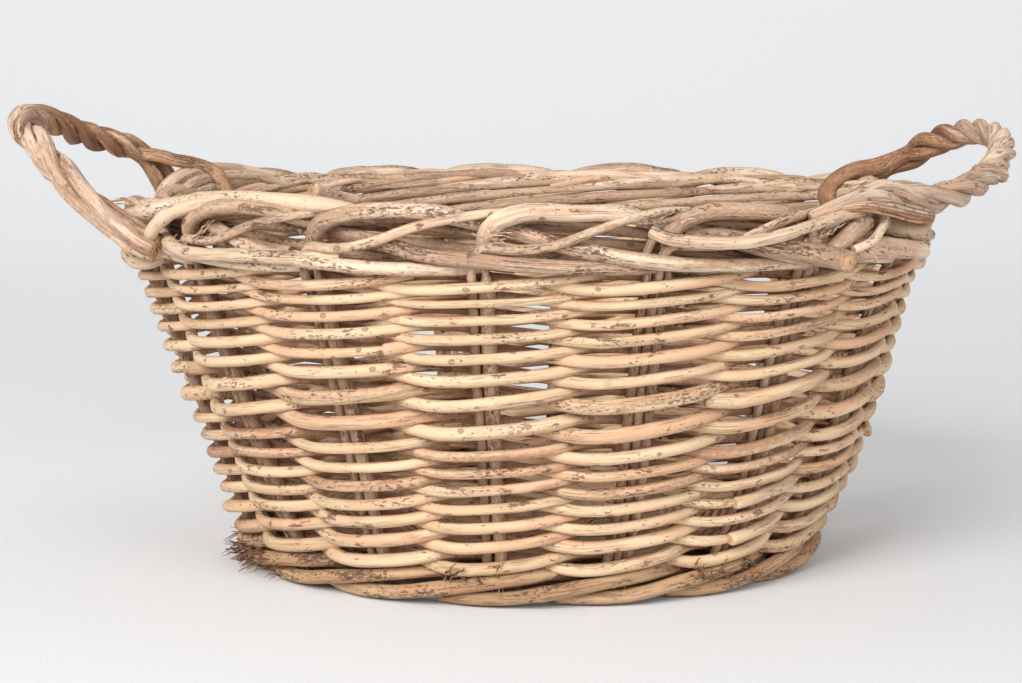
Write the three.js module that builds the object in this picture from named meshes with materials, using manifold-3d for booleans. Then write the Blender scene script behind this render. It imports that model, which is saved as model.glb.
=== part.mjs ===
// A two-handled oval wicker basket, put together as a basket maker puts it together: a pierced slath
// of base sticks, a woven base, bundles of stakes whose tips are laid down into the rim border,
// rounds of pairing (two weavers twined about the stakes), a twined foot that the basket stands
// on, and a rope handle of three twisted rods at each end.
// Millimetres, +Z up. X runs from handle to handle and the front is towards -Y. The origin is on
// the floor, under the middle of the overall box.
import * as THREE from "three";
import { mergeVertices } from "three/addons/utils/BufferGeometryUtils.js";
import Module from "manifold-3d";

const wasm = await Module();
wasm.setup();

// The bowl, measured at floor level on the wall's middle surface, in which the stakes stand.
const BASE_HALF_LENGTH = 174;
const BASE_HALF_WIDTH = 139;
const FLARE_DEG = 20.3;

// The right end of the bowl swells out between its foot and its rim.
const FOOT_SWELL = 5;
const FOOT_SWELL_HEIGHT = 20;
const BELLY_SWELL = 12;
const BELLY_HEIGHT = 90;
const BELLY_TOP = 200;

// Stakes: bundles of rods side by side, listed round the wall from the front, towards the right.
const STAKE_RODS = [2, 3, 3, 3, 2, 3, 2, 3, 2, 3, 2, 3, 2, 2, 2, 2];
const FIRST_STAKE_DEG = -96.6;
const STAKE_ROD_DIAMETER = 4.8;
const BUNDLE_BEDDING = 1; // how deep the rods of a bundle press into each other
const STAKE_BUTT_LENGTH = 38;
const STAKE_BEND_RADIUS = 5;
const STAKE_BEND_STEPS_DEG = [0, 45, 90];

// Weavers, one pair to a round, listed from the foot up.
const ROUND_ROD_DIAMETERS = [6.6, 5.8, 5.4, 5.2, 5.4, 5.0, 6.0, 7.6, 7.0, 5.6, 5.2, 4.8, 4.6, 4.2, 3.9];
const FOOT_ROD_DIAMETER = 10;
const FLOOR_FLAT_DEPTH = 0.6;
const CLEARANCE = 0.35;

// The border. Each stake's leading rod is laid down to the right over three places: up and over the
// top of the border, down its outside, under it and in behind. Its way is given by
// [places along, distance out, height] in rod diameters from the middle of the border.
const BORDER_ROD_DIAMETER = 8.6;
const BORDER_TIP_DIAMETER = 6.4;
const BORDER_COURSE = [
  [0, 0, 0.5],
  [0.5, 0.45, 1.75],
  [1, 0.9, 1.15],
  [1.5, 1.25, 0],
  [2, 0.9, -1.15],
  [2.5, 0.45, -1.75],
  [3, -0.95, -0.95],
];

// The base.
const BASE_THICKNESS = 13;
const BASE_SKIN = 2; // weave left under the thickest stick
const BASE_RIDGES = 3;
const BASE_RIDGE_DEPTH = 3;
const CROSS_STICKS = 3;
const CROSS_STICK_SPACING = 62;
const CROSS_STICK_DIAMETER = 7.5;
const CROSS_STICK_SPLIT_DIAMETER = 11;
const LONG_STICK_DIAMETER = 5.2;
const STICK_END_INSET = 3;

// The handles. Reach and rise are how far a handle stands out from the middle of the border and
// above it. Its bow is a list of [bearing, share of the reach, share of the rise], and each of its two
// feet is a list of [bearing, share of the border's half height].
const HANDLE_STRAND_DIAMETER = 7;
const HANDLE_STRANDS = 3;
const HANDLE_FOOT_LENGTH = 18; // how much of each end is laid straight, without a twist
const HANDLE_STEPS_PER_TURN = 10;
const ROPE_CIRCLE_STEP = 0.05; // the steps in which a rope is widened until its strands are clear
const ROPE_TURN_STEP = 0.005;
const ROPE_TURN_SEARCHED = 0.25;
const SEAT_TRIES = 12;
const LEFT_HANDLE = {
  name: "left",
  reach: 72,
  rise: 62,
  turns: 3,
  near: [
    [214.5, -0.62],
    [211.5, -0.36],
  ],
  bow: [
    [207.5, 0.37, 0.04],
    [202, 0.51, 0.24],
    [196.5, 0.7, 0.53],
    [190, 0.94, 0.89],
    [185, 1, 1],
    [178, 0.83, 0.95],
    [170, 0.61, 0.78],
    [165.5, 0.43, 0.63],
  ],
  far: [
    [162, 0.83],
    [161, -0.47],
  ],
};
const RIGHT_HANDLE = {
  name: "right",
  reach: 57,
  rise: 53,
  turns: 4,
  near: [
    [-47, 0.88],
    [-43, 1.06],
    [-38, 1.09],
    [-32, 0.95],
    [-26, 0.9],
  ],
  bow: [
    [-20, 0.39, 0.4],
    [-14, 0.53, 0.48],
    [-8, 0.72, 0.63],
    [-3, 0.93, 0.82],
    [2, 1, 0.98],
    [7, 0.79, 1],
    [12, 0.61, 0.87],
    [16.5, 0.49, 0.68],
    [21, 0.39, 0.53],
  ],
  far: [
    [25.5, 0.83],
    [27, -0.47],
  ],
};

// How many sides the rods have, and how far a cutter runs on past the edge of what it cuts.
const WEAVER_SIDES = 4;
const FOOT_SIDES = 6;
const STAKE_SIDES = 5;
const STICK_SIDES = 6;
const STRAND_SIDES = 5;
const PAST_THE_EDGE = 20;

// Finishes.
const WILLOW = 0xcfae84;
const STAKE_BARK = 0x8f6c4c;
const FOOT_WILLOW = 0xb98f62;
const BASE_WILLOW = 0xb89569;
const HANDLE_BARK = 0x9b7a5e;
const ROUGHNESS = 0.8;

const rad = THREE.MathUtils.degToRad;
const UP = new THREE.Vector3(0, 0, 1);
const DOWN = new THREE.Vector3(0, 0, -1);
const TAN_FLARE = Math.tan(rad(FLARE_DEG));
const COS_FLARE = Math.cos(rad(FLARE_DEG));
const stakePlaces = STAKE_RODS.length;
const stakeRadius = STAKE_ROD_DIAMETER / 2;
const bundlePitch = STAKE_ROD_DIAMETER - BUNDLE_BEDDING;

const basket = new THREE.Group();
function addPart(name, geometry, color) {
  const mesh = new THREE.Mesh(geometry, new THREE.MeshStandardMaterial({ color, roughness: ROUGHNESS }));
  mesh.name = name;
  basket.add(mesh);
}

// Bearing in degrees of a place round the wall, counted in stakes.
const bearing = (place) => FIRST_STAKE_DEG + (360 / stakePlaces) * place;

// How far the belly swells at a height, and how fast it does so there.
const BELLY = [
  [0, FOOT_SWELL],
  [FOOT_SWELL_HEIGHT, FOOT_SWELL],
  [BELLY_HEIGHT, BELLY_SWELL],
  [BELLY_TOP, 0],
];
function bellyAt(height) {
  const above = BELLY.findIndex(([top]) => top > height);
  if (above < 1) return { swell: BELLY.at(-1)[1], rate: 0 };
  const [low, start] = BELLY[above - 1];
  const [high, end] = BELLY[above];
  const rate = (end - start) / (high - low);
  return { swell: start + rate * (height - low), rate };
}

// The wall at a bearing and a height: the point, and the ways along the wall, up it and out of it.
function wallFrame(degrees, height) {
  const c = Math.cos(rad(degrees));
  const s = Math.sin(rad(degrees));
  const { swell, rate } = c > 0 ? bellyAt(height) : { swell: 0, rate: 0 };
  const halfLength = BASE_HALF_LENGTH + height * TAN_FLARE + swell;
  const halfWidth = BASE_HALF_WIDTH + height * TAN_FLARE;
  const along = new THREE.Vector3(-halfLength * s, halfWidth * c, 0).normalize();
  const slope = new THREE.Vector3((TAN_FLARE + rate) * c, TAN_FLARE * s, 1);
  slope.addScaledVector(along, -slope.dot(along)).normalize();
  const out = new THREE.Vector3().crossVectors(along, slope);
  return { point: new THREE.Vector3(halfLength * c, halfWidth * s, height), along, slope, out };
}

// A point beside the wall, with its offsets along the wall's own directions.
function byWall(degrees, height, { out = 0, slope = 0, along = 0 }) {
  const f = wallFrame(degrees, height);
  return f.point.addScaledVector(f.out, out).addScaledVector(f.slope, slope).addScaledVector(f.along, along);
}

// A point beside the wall, with its offsets level and upright.
const levelOut = (degrees, height) => new THREE.Vector3().crossVectors(wallFrame(degrees, height).along, UP);
function levelByWall(degrees, height, { out = 0, up = 0, along = 0 }) {
  const f = wallFrame(degrees, height);
  f.point.addScaledVector(levelOut(degrees, height), out);
  return f.point.addScaledVector(UP, up).addScaledVector(f.along, along);
}

// A rod: corners about each point of its path, joined to the next, and capped or joined to itself.
// One row of corners faces the given direction, or a direction given for each point.
function rodGeometry(path, diameters, sides, facing, closed = false) {
  const n = path.length;
  const at = (i) => path[closed ? (i + n) % n : THREE.MathUtils.clamp(i, 0, n - 1)];
  const corners = [];
  let side = facing;
  for (let i = 0; i < n; i++) {
    const tangent = at(i + 1).clone().sub(at(i - 1)).normalize();
    side = (Array.isArray(facing) ? facing[i] : side).clone();
    side.addScaledVector(tangent, -side.dot(tangent)).normalize();
    const across = new THREE.Vector3().crossVectors(side, tangent);
    const radius = (Array.isArray(diameters) ? diameters[i] : diameters) / 2;
    for (let k = 0; k < sides; k++) {
      const turn = (k / sides) * 2 * Math.PI;
      const corner = at(i).clone().addScaledVector(side, radius * Math.cos(turn));
      corners.push(corner.addScaledVector(across, radius * Math.sin(turn)));
    }
  }
  return loft(corners, sides, closed);
}

// Skins rings of corners that follow one another.
function loft(corners, sides, closed = false) {
  const rings = corners.length / sides;
  const faces = [];
  for (let i = 0; i < (closed ? rings : rings - 1); i++)
    for (let k = 0; k < sides; k++) {
      const a = i * sides + k;
      const b = i * sides + ((k + 1) % sides);
      const c = ((i + 1) % rings) * sides + k;
      const d = ((i + 1) % rings) * sides + ((k + 1) % sides);
      faces.push(a, c, b, b, c, d);
    }
  if (!closed)
    for (let k = 1; k < sides - 1; k++) {
      const last = (rings - 1) * sides;
      faces.push(0, k, k + 1, last, last + k + 1, last + k);
    }
  const geometry = new THREE.BufferGeometry().setFromPoints(corners);
  geometry.setIndex(faces);
  geometry.computeVertexNormals();
  return geometry;
}

function solidOf(geometry) {
  const bare = geometry.clone();
  bare.deleteAttribute("normal");
  bare.deleteAttribute("uv");
  const merged = mergeVertices(bare, 1e-4);
  const vertProperties = new Float32Array(merged.attributes.position.array);
  const triVerts = new Uint32Array(merged.index.array);
  return new wasm.Manifold(new wasm.Mesh({ numProp: 3, vertProperties, triVerts }));
}

function geometryOf(solid) {
  const mesh = solid.getMesh();
  const geometry = new THREE.BufferGeometry();
  geometry.setAttribute("position", new THREE.BufferAttribute(mesh.vertProperties, 3));
  geometry.setIndex(new THREE.BufferAttribute(mesh.triVerts, 1));
  geometry.computeVertexNormals();
  return geometry;
}

// How far a weaver stands off the wall's middle surface where it passes stake k, on the outside
// (side 1) or the inside (side -1). Its straight run towards the next crossing leans in over the
// bundle's edge, and cuts across the curve of the wall.
function stakeReach(k, height, diameter, side) {
  const f = wallFrame(bearing(k), height);
  const edge = (bundlePitch * (STAKE_RODS[k] - 1)) / 2 + stakeRadius / 2;
  const reaches = [-0.5, 0.5].map((half) => {
    const run = wallFrame(bearing(k + half), height).point.sub(f.point);
    const length = Math.abs(run.dot(f.along));
    const slant = Math.hypot(1, (stakeRadius + diameter) / length);
    const needed = stakeRadius + (diameter / 2) * slant + CLEARANCE;
    return (needed - (side * run.dot(f.out) * edge) / length) / (1 - edge / length);
  });
  return Math.max(...reaches);
}

// How far a weaver rises at a crossing, so that the straight runs of a pair clear each other.
function crossingRise(height, diameter) {
  const half = (diameter + CLEARANCE) / 2;
  const least = Math.min(...STAKE_RODS.map((_, k) => stakeReach(k, height, diameter, -1)));
  return (half * least) / Math.sqrt(least ** 2 - half ** 2);
}

// One weaver of a pair: outside one stake, over its partner, inside the next, and under its partner.
const slopingOut = (degrees, height) => wallFrame(degrees, height).out;
function twinedRod(height, diameter, startsOutside, sides = WEAVER_SIDES, facing = slopingOut) {
  const rise = crossingRise(height, diameter);
  const path = [];
  const outs = [];
  for (let k = 0; k < stakePlaces; k++) {
    const side = (k % 2 === 0) === startsOutside ? 1 : -1;
    path.push(byWall(bearing(k), height, { out: side * stakeReach(k, height, diameter, side) }));
    path.push(byWall(bearing(k + 0.5), height, { slope: side * rise }));
    outs.push(facing(bearing(k), height), facing(bearing(k + 0.5), height));
  }
  return rodGeometry(path, diameter, sides, outs, true);
}

// The foot, a pair of thicker rods. Their undersides are level, and trimmed flat where they meet
// the floor.
const footRadius = FOOT_ROD_DIAMETER / 2;
const footRise = crossingRise(0, FOOT_ROD_DIAMETER);
const footHeight = footRise * COS_FLARE + footRadius * Math.cos(Math.PI / FOOT_SIDES) - FLOOR_FLAT_DEPTH;
const floorSize = 4 * BASE_HALF_LENGTH;
const floorBlock = new THREE.BoxGeometry(floorSize, floorSize, floorSize);
const belowFloor = solidOf(floorBlock.translate(0, 0, -floorSize / 2));
for (const [letter, startsOutside] of [["a", true], ["b", false]]) {
  const rod = solidOf(twinedRod(footHeight, FOOT_ROD_DIAMETER, startsOutside, FOOT_SIDES, levelOut));
  addPart(`foot_rod_${letter}`, geometryOf(rod.subtract(belowFloor)), FOOT_WILLOW);
}

// The rounds of the wall, each beaten down on the one below it. The wall leans least where the belly
// draws in, so the rounds are spaced for that side.
const leastLean = (height) => Math.cos(Math.atan(TAN_FLARE + Math.min(0, bellyAt(height).rate)));
let wallTop = footHeight + (footRise + footRadius) * COS_FLARE;
const roundHeights = ROUND_ROD_DIAMETERS.map((diameter) => {
  const half = crossingRise(wallTop, diameter) + diameter / 2;
  const lean = leastLean(wallTop + half);
  const height = wallTop + (CLEARANCE + half) * lean;
  wallTop = height + half * lean;
  return height;
});
roundHeights.forEach((height, i) => {
  const number = String(i + 1).padStart(2, "0");
  addPart(`weaver_${number}_a`, twinedRod(height, ROUND_ROD_DIAMETERS[i], true), WILLOW);
  addPart(`weaver_${number}_b`, twinedRod(height, ROUND_ROD_DIAMETERS[i], false), WILLOW);
});

// The border's rods taper along their course.
const courseDiameters = BORDER_COURSE.map((_, i) =>
  THREE.MathUtils.lerp(BORDER_ROD_DIAMETER, BORDER_TIP_DIAMETER, i / (BORDER_COURSE.length - 1)),
);
const borderHalfHeight = (Math.max(...BORDER_COURSE.map(([, , up]) => up)) + 0.5) * BORDER_ROD_DIAMETER;
const courseFaces = BORDER_COURSE.map(([, out], i) => out * BORDER_ROD_DIAMETER + courseDiameters[i] / 2);
const borderFace = Math.max(...courseFaces);
const borderRise = CLEARANCE + borderHalfHeight;
const byBorder = (degrees, { out = 0, up = 0, along = 0 }) =>
  levelByWall(degrees, wallTop, { out, up: borderRise + up, along });

// Stakes rise from the base, between the inside rods of the foot and of the first round.
const insideHeights = (height, diameter) =>
  STAKE_RODS.map((_, k) => byWall(bearing(k), height, { out: -stakeReach(k, height, diameter, -1) }).z);
const firstRound = { height: roundHeights[0], diameter: ROUND_ROD_DIAMETERS[0] };
const insideGapBottom = Math.max(...insideHeights(footHeight, FOOT_ROD_DIAMETER)) + footRadius;
const insideFirstRound = Math.min(...insideHeights(firstRound.height, firstRound.diameter));
const insideGapTop = insideFirstRound - firstRound.diameter / 2;
const baseHeight = (insideGapBottom + insideGapTop) / 2;
const bendPoints = STAKE_BEND_STEPS_DEG.map((deg) => ({
  out: STAKE_BEND_RADIUS * (Math.sin(rad(deg)) - 1),
  up: STAKE_BEND_RADIUS * (1 - Math.cos(rad(deg))),
}));
const leadOffset = (k) => (bundlePitch * (STAKE_RODS[k] - 1)) / 2;

// The heights at which a rod bends with the belly, between the base and the top of the wall.
function bellyBends(k, from) {
  const heights = BELLY.map(([height]) => height);
  const inWall = heights.filter((height) => height > from && height < wallTop - STAKE_BEND_RADIUS);
  return Math.cos(rad(bearing(k))) > 0 ? inWall : [];
}

const borderRods = [];
function leadingRod(k) {
  const along = leadOffset(k);
  const path = [levelByWall(bearing(k), baseHeight, { out: -STAKE_BUTT_LENGTH, along })];
  for (const { out, up } of bendPoints) path.push(levelByWall(bearing(k), baseHeight + up, { out, along }));
  for (const height of [...bellyBends(k, baseHeight + STAKE_BEND_RADIUS), wallTop])
    path.push(byWall(bearing(k), height, { along }));
  const diameters = path.map(() => STAKE_ROD_DIAMETER);
  BORDER_COURSE.forEach(([places, out, up], i) => {
    path.push(
      byBorder(bearing(k + places), {
        out: out * BORDER_ROD_DIAMETER,
        up: up * BORDER_ROD_DIAMETER,
        along: i === 0 ? along : 0,
      }),
    );
    diameters.push(i === 0 ? STAKE_ROD_DIAMETER : courseDiameters[i]);
  });
  for (let i = path.length - BORDER_COURSE.length; i < path.length; i++)
    borderRods.push({ line: new THREE.Line3(path[i - 1], path[i]), radius: diameters[i] / 2 });
  return rodGeometry(path, diameters, STAKE_SIDES, DOWN);
}

// The other rods of a bundle stand beside it, from the floor, through the foot, into the border.
function sideRod(k, j) {
  const along = leadOffset(k) - j * bundlePitch;
  const heights = [stakeRadius, ...bellyBends(k, stakeRadius), wallTop];
  const path = heights.map((height) => byWall(bearing(k), height, { along }));
  path.push(byBorder(bearing(k), { along }));
  return rodGeometry(path, STAKE_ROD_DIAMETER, STAKE_SIDES, wallFrame(bearing(k), 0).out);
}

STAKE_RODS.forEach((rods, k) => {
  let bundle = solidOf(leadingRod(k));
  for (let j = 1; j < rods; j++) bundle = bundle.add(solidOf(sideRod(k, j)));
  addPart(`stake_${String(k + 1).padStart(2, "0")}`, geometryOf(bundle), STAKE_BARK);
});

// The base: an oval plate of weaving, ridged by its rounds, inside the inner rods of the foot and of
// the first round. Its rings are laid about the long sticks, so each is the same distance further in.
const insideRound = (height, diameter) =>
  Math.max(...STAKE_RODS.map((_, k) => stakeReach(k, height, diameter, -1))) + diameter / 2 + CLEARANCE;
const baseInset = Math.max(
  insideRound(footHeight, FOOT_ROD_DIAMETER),
  insideRound(firstRound.height, firstRound.diameter),
);
const plateBottom = baseHeight - CROSS_STICK_SPLIT_DIAMETER / 2 - BASE_SKIN;
const plateHalfLength = BASE_HALF_LENGTH + plateBottom * TAN_FLARE - baseInset;
const plateHalfWidth = BASE_HALF_WIDTH + plateBottom * TAN_FLARE - baseInset;
const plateTop = plateBottom + BASE_THICKNESS;

function ovalRing(inset, height) {
  const corners = [];
  for (let i = 2 * stakePlaces; i > 0; i--) {
    const c = Math.cos(rad(bearing(i / 2)));
    const s = Math.sin(rad(bearing(i / 2)));
    const swell = c > 0 ? bellyAt(plateBottom).swell : 0;
    const x = (plateHalfLength + swell - inset) * c;
    corners.push(new THREE.Vector3(x, (plateHalfWidth - inset) * s, height));
  }
  return corners;
}

function baseWeave() {
  const ridge = plateHalfWidth / (BASE_RIDGES + 0.5);
  const bottomRings = [];
  const topRings = [];
  for (let i = 0; i < 2 * BASE_RIDGES; i++) {
    const inset = (i * ridge) / 2;
    const dip = i % 2 === 0 ? BASE_RIDGE_DEPTH : 0;
    bottomRings.unshift(ovalRing(inset, plateBottom + dip));
    topRings.push(ovalRing(inset, plateTop - dip));
  }
  return loft([...bottomRings, ...topRings].flat(), 2 * stakePlaces);
}

// A stick of the base lies level, along X or along Y, and can swell towards its middle.
function stick(axis, halfLength, offset, diameters, extra = 0) {
  const path = diameters.map((_, i) => {
    const run = THREE.MathUtils.lerp(-halfLength - extra, halfLength + extra, i / (diameters.length - 1));
    const [x, y] = axis === "x" ? [run, offset] : [offset, run];
    return new THREE.Vector3(x, y, baseHeight);
  });
  const room = 2 * CLEARANCE * Math.sign(extra);
  const fat = diameters.map((diameter) => diameter + room);
  return solidOf(rodGeometry(path, fat, STICK_SIDES, UP));
}

// Room for a stick that lies in the weave is the same stick, fatter by the clearance, and longer.
const longOffset = (LONG_STICK_DIAMETER + CLEARANCE) / 2;
const longSticks = [-longOffset, longOffset].map((y) => (extra) =>
  stick("x", plateHalfLength - STICK_END_INSET, y, [LONG_STICK_DIAMETER, LONG_STICK_DIAMETER], extra),
);
const crossSticks = Array.from({ length: CROSS_STICKS }, (_, i) => (extra) => {
  const x = (i - (CROSS_STICKS - 1) / 2) * CROSS_STICK_SPACING;
  const halfLength = plateHalfWidth * Math.sqrt(1 - (x / plateHalfLength) ** 2) - STICK_END_INSET;
  const swelling = (CROSS_STICK_DIAMETER + CROSS_STICK_SPLIT_DIAMETER) / 2;
  const half = [CROSS_STICK_DIAMETER, CROSS_STICK_DIAMETER, swelling];
  return stick("y", halfLength, x, [...half, CROSS_STICK_SPLIT_DIAMETER, ...half.toReversed()], extra);
});

let weave = solidOf(baseWeave());
for (const cutter of [...longSticks, ...crossSticks]) weave = weave.subtract(cutter(PAST_THE_EDGE));
for (let k = 0; k < stakePlaces; k++) {
  const along = leadOffset(k);
  const inner = levelByWall(bearing(k), baseHeight, { out: -STAKE_BUTT_LENGTH - 2 * CLEARANCE, along });
  const outer = levelByWall(bearing(k), baseHeight, { along });
  const channel = rodGeometry([inner, outer], STAKE_ROD_DIAMETER + 2 * CLEARANCE, STAKE_SIDES, DOWN);
  weave = weave.subtract(solidOf(channel));
}
addPart("base_weave", geometryOf(weave), BASE_WILLOW);
longSticks.forEach((make, i) => addPart(`base_long_stick_${i + 1}`, geometryOf(make(0)), STAKE_BARK));
crossSticks.forEach((make, i) => {
  let split = make(0);
  for (const cutter of longSticks) split = split.subtract(cutter(PAST_THE_EDGE));
  addPart(`base_cross_stick_${i + 1}`, geometryOf(split), STAKE_BARK);
});

// The handles. Three rods are twisted into a rope along a bow. Its two feet are drawn in towards the
// border until a strand of each lies against the border's rods.
const strandRadius = HANDLE_STRAND_DIAMETER / 2;
const strandCircle = (strandRadius + CLEARANCE / 2) / Math.sin(Math.PI / HANDLE_STRANDS);

// The circle that the strands' middles wind on, wide enough that the slanting strands stay clear.
function ropeCircle(pitch) {
  const apart = (2 * Math.PI) / HANDLE_STRANDS;
  let circle = strandCircle;
  const nearest = (r) => {
    let least = Infinity;
    for (let turn = -ROPE_TURN_SEARCHED; turn <= ROPE_TURN_SEARCHED; turn += ROPE_TURN_STEP) {
      const level = r * Math.sqrt(2 - 2 * Math.cos(apart + 2 * Math.PI * turn));
      least = Math.min(least, Math.hypot(level, turn * pitch));
    }
    return least;
  };
  while (nearest(circle) < HANDLE_STRAND_DIAMETER + 2 * CLEARANCE) circle += ROPE_CIRCLE_STEP;
  return circle;
}

// The strands of a handle whose feet stand so far out: their paths, and which way each is turned.
function ropeStrands({ near, far, bow, reach, rise, turns }, nearSeat, farSeat) {
  const controls = [
    ...near.map(([degrees, share]) => byBorder(degrees, { out: nearSeat, up: share * borderHalfHeight })),
    ...bow.map(([degrees, out, up]) => byBorder(degrees, { out: out * reach, up: up * rise })),
    ...far.map(([degrees, share]) => byBorder(degrees, { out: farSeat, up: share * borderHalfHeight })),
  ];
  const curve = new THREE.CatmullRomCurve3(controls, false, "centripetal");
  const steps = Math.round(turns * HANDLE_STEPS_PER_TURN);
  const frames = curve.computeFrenetFrames(steps, false);
  const outwards = [near.at(0), far.at(-1)].map(([degrees]) => levelOut(degrees, wallTop));
  const phaseOf = (i, out) => Math.atan2(out.dot(frames.binormals[i]), out.dot(frames.normals[i]));
  const start = phaseOf(0, outwards[0]);
  const lay = (2 * Math.PI) / HANDLE_STRANDS;
  const wanted = phaseOf(steps, outwards[1]) - start;
  const twist = wanted + lay * Math.round((turns * 2 * Math.PI - wanted) / lay);
  const length = curve.getLength();
  const straight = HANDLE_FOOT_LENGTH / length;
  const pitch = (length * (1 - 2 * straight) * 2 * Math.PI) / twist;
  const circle = ropeCircle(pitch) / Math.cos(twist / steps / 2);
  return Array.from({ length: HANDLE_STRANDS }, (_, strand) => {
    const path = [];
    const outs = [];
    for (let i = 0; i <= steps; i++) {
      const along = i / steps;
      const wound = THREE.MathUtils.clamp((along - straight) / (1 - 2 * straight), 0, 1);
      const phase = start + twist * wound + lay * strand;
      const out = frames.normals[i].clone().multiplyScalar(Math.cos(phase));
      out.addScaledVector(frames.binormals[i], Math.sin(phase));
      outs.push(out);
      path.push(curve.getPointAt(along).addScaledVector(out, circle));
    }
    return { path, outs };
  });
}

// How much room there is between the border's rods and the half of a rope that starts at one foot.
function roomToBorder(strands, farHalf) {
  let room = Infinity;
  for (const { path } of strands) {
    const middle = Math.floor(path.length / 2);
    const half = farHalf ? path.slice(middle) : path.slice(0, middle + 1);
    for (let i = 1; i < half.length; i++) {
      const piece = new THREE.Line3(half[i - 1], half[i]);
      for (const { line, radius } of borderRods)
        room = Math.min(room, Math.sqrt(piece.distanceSqToLine3(line)) - radius - strandRadius);
    }
  }
  return room;
}

for (const handle of [LEFT_HANDLE, RIGHT_HANDLE]) {
  let nearSeat = borderFace + HANDLE_STRANDS * HANDLE_STRAND_DIAMETER;
  let farSeat = nearSeat;
  let strands = ropeStrands(handle, nearSeat, farSeat);
  for (let i = 0; i < SEAT_TRIES; i++) {
    nearSeat -= roomToBorder(strands, false) - CLEARANCE;
    farSeat -= roomToBorder(strands, true) - CLEARANCE;
    strands = ropeStrands(handle, nearSeat, farSeat);
  }
  strands.forEach(({ path, outs }, i) => {
    const rod = rodGeometry(path, HANDLE_STRAND_DIAMETER, STRAND_SIDES, outs);
    addPart(`handle_${handle.name}_strand_${i + 1}`, rod, HANDLE_BARK);
  });
}

// The origin is moved under the middle of the overall box.
const overall = new THREE.Box3().setFromObject(basket, true);
const middle = overall.getCenter(new THREE.Vector3());
basket.position.set(-middle.x, -middle.y, -overall.min.z);

export default basket;
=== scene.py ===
import math
import random

import bpy
import numpy as np
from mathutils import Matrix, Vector, noise


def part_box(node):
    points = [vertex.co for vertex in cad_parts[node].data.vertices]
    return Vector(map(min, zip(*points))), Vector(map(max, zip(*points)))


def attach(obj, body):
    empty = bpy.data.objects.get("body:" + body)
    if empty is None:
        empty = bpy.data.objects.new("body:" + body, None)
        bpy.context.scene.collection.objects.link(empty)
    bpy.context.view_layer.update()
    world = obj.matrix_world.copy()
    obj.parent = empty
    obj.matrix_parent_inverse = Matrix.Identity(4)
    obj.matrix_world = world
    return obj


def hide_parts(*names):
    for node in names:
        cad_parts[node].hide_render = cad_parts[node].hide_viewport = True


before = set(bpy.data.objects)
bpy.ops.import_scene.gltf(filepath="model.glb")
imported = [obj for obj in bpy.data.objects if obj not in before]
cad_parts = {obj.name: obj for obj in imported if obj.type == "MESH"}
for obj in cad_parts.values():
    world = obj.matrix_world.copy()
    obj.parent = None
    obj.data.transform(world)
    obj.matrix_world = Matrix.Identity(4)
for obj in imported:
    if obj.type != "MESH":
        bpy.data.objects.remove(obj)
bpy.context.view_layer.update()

# The basket is worked out in millimetres and made in metres.
MM = 0.001


def frame_box(node):
    """Lowest and highest corner of a CAD node, in millimetres."""
    low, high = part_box(node)
    return low / MM, high / MM


# The bowl: half sizes on the floor and flare, as in the CAD, and the belly of the right end, which lets
# these fuller rods reach out as far as the CAD's.
BASE_HALF_LENGTH = 174
BASE_HALF_WIDTH = 139
FLARE = math.tan(math.radians(20.3))
BELLY = [(0, 1), (20, 1), (60, 9), (90, 7), (120, 3), (185, -3.5), (200, 0)]
# The middle of the base is that of its middle cross stick.
low, high = frame_box("base_cross_stick_2")
MIDDLE = (low + high) / 2

# Stakes: how many rods each has, round the wall from the front towards the right, how far apart the rods
# of a bundle stand, how much thicker its leading rod is, and how far the butt of that goes into the base.
STAKE_RODS = [2, 3, 3, 3, 2, 3, 2, 3, 2, 3, 2, 3, 2, 2, 2, 2]
PLACES = len(STAKE_RODS)
FIRST_STAKE_DEG = -96.6
STAKE_DIAMETER = 5.4
STAKE_PITCH = {2: 7.8, 3: 6.0}
LEADING_ROD = {2: 1.55, 3: 1.28}
STAKE_BUTT = 38

# Rounds of weaving: their heights come from the frame, their rods are fuller than its solids. A round's
# two rods pinch by a share of their diameter where they pass each other, and wander up and down a
# little, over so many stakes.
ROUNDS = 15
ROUND_DIAMETERS = [7.9, 7.4, 6.7, 6.5, 6.5, 6.0, 7.0, 8.4, 8.2, 6.8, 6.5, 6.1, 5.6, 5.1, 6.4]
PINCH = 0.45
WANDER, WANDER_STAKES = 1.6, 2.2
FOOT_DIAMETER = 8.8

# The border's middle line stands this far under its top, which comes from the frame.
BORDER_HALF_HEIGHT = 19
# The wall ends at this height, and the border is placed level outwards from there.
WALL_TOP = 202
BORDER_HEIGHT = max(frame_box(f"stake_{k + 1:02d}")[1].z for k in range(PLACES)) - BORDER_HALF_HEIGHT
FAR_RIM_LIFT = 4.0

# The far side was woven with thicker rods than the near one.
FAR_WEAVERS_FULLER = 0.24
FAR_BORDER_FULLER = 0.2

# How finely rods are made: points from stake to stake, millimetres from ring to ring, and roundness.
STEPS_PER_PLACE = 20
RING_SPACING = 4.0
CLOSE_SPACING = 2.5
CLOSEST_SPACING = 2
ROUNDNESS = 3

# A rod's cut end: the width of its worn edge, and what is left of its diameter there.
END_EDGE = 0.9
END_SHARE = 0.82

# A rod's girth wavers by a share of itself, and it swells at each knot, at one more than at another.
GIRTH_WAVER, WAVER_LENGTH = 0.06, 18
KNOT_HALF_LENGTH, FIRST_KNOT, KNOT_GAPS, KNOT_SIZES = 4, (10, 70), (45, 120), (0.6, 1.6)
# A rod's pattern starts at random, somewhere in so many metres of willow.
PATTERN_METRES = 9


def bearing(place):
    return math.radians(FIRST_STAKE_DEG + 360 / PLACES * place)


def place_at(degrees):
    """How many stakes from the first one a bearing in degrees is."""
    return (degrees - FIRST_STAKE_DEG) / (360 / PLACES)


def far(place):
    """1 at the middle of the far side, 0 along the near side."""
    return max(0, math.sin(bearing(place)))


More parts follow.
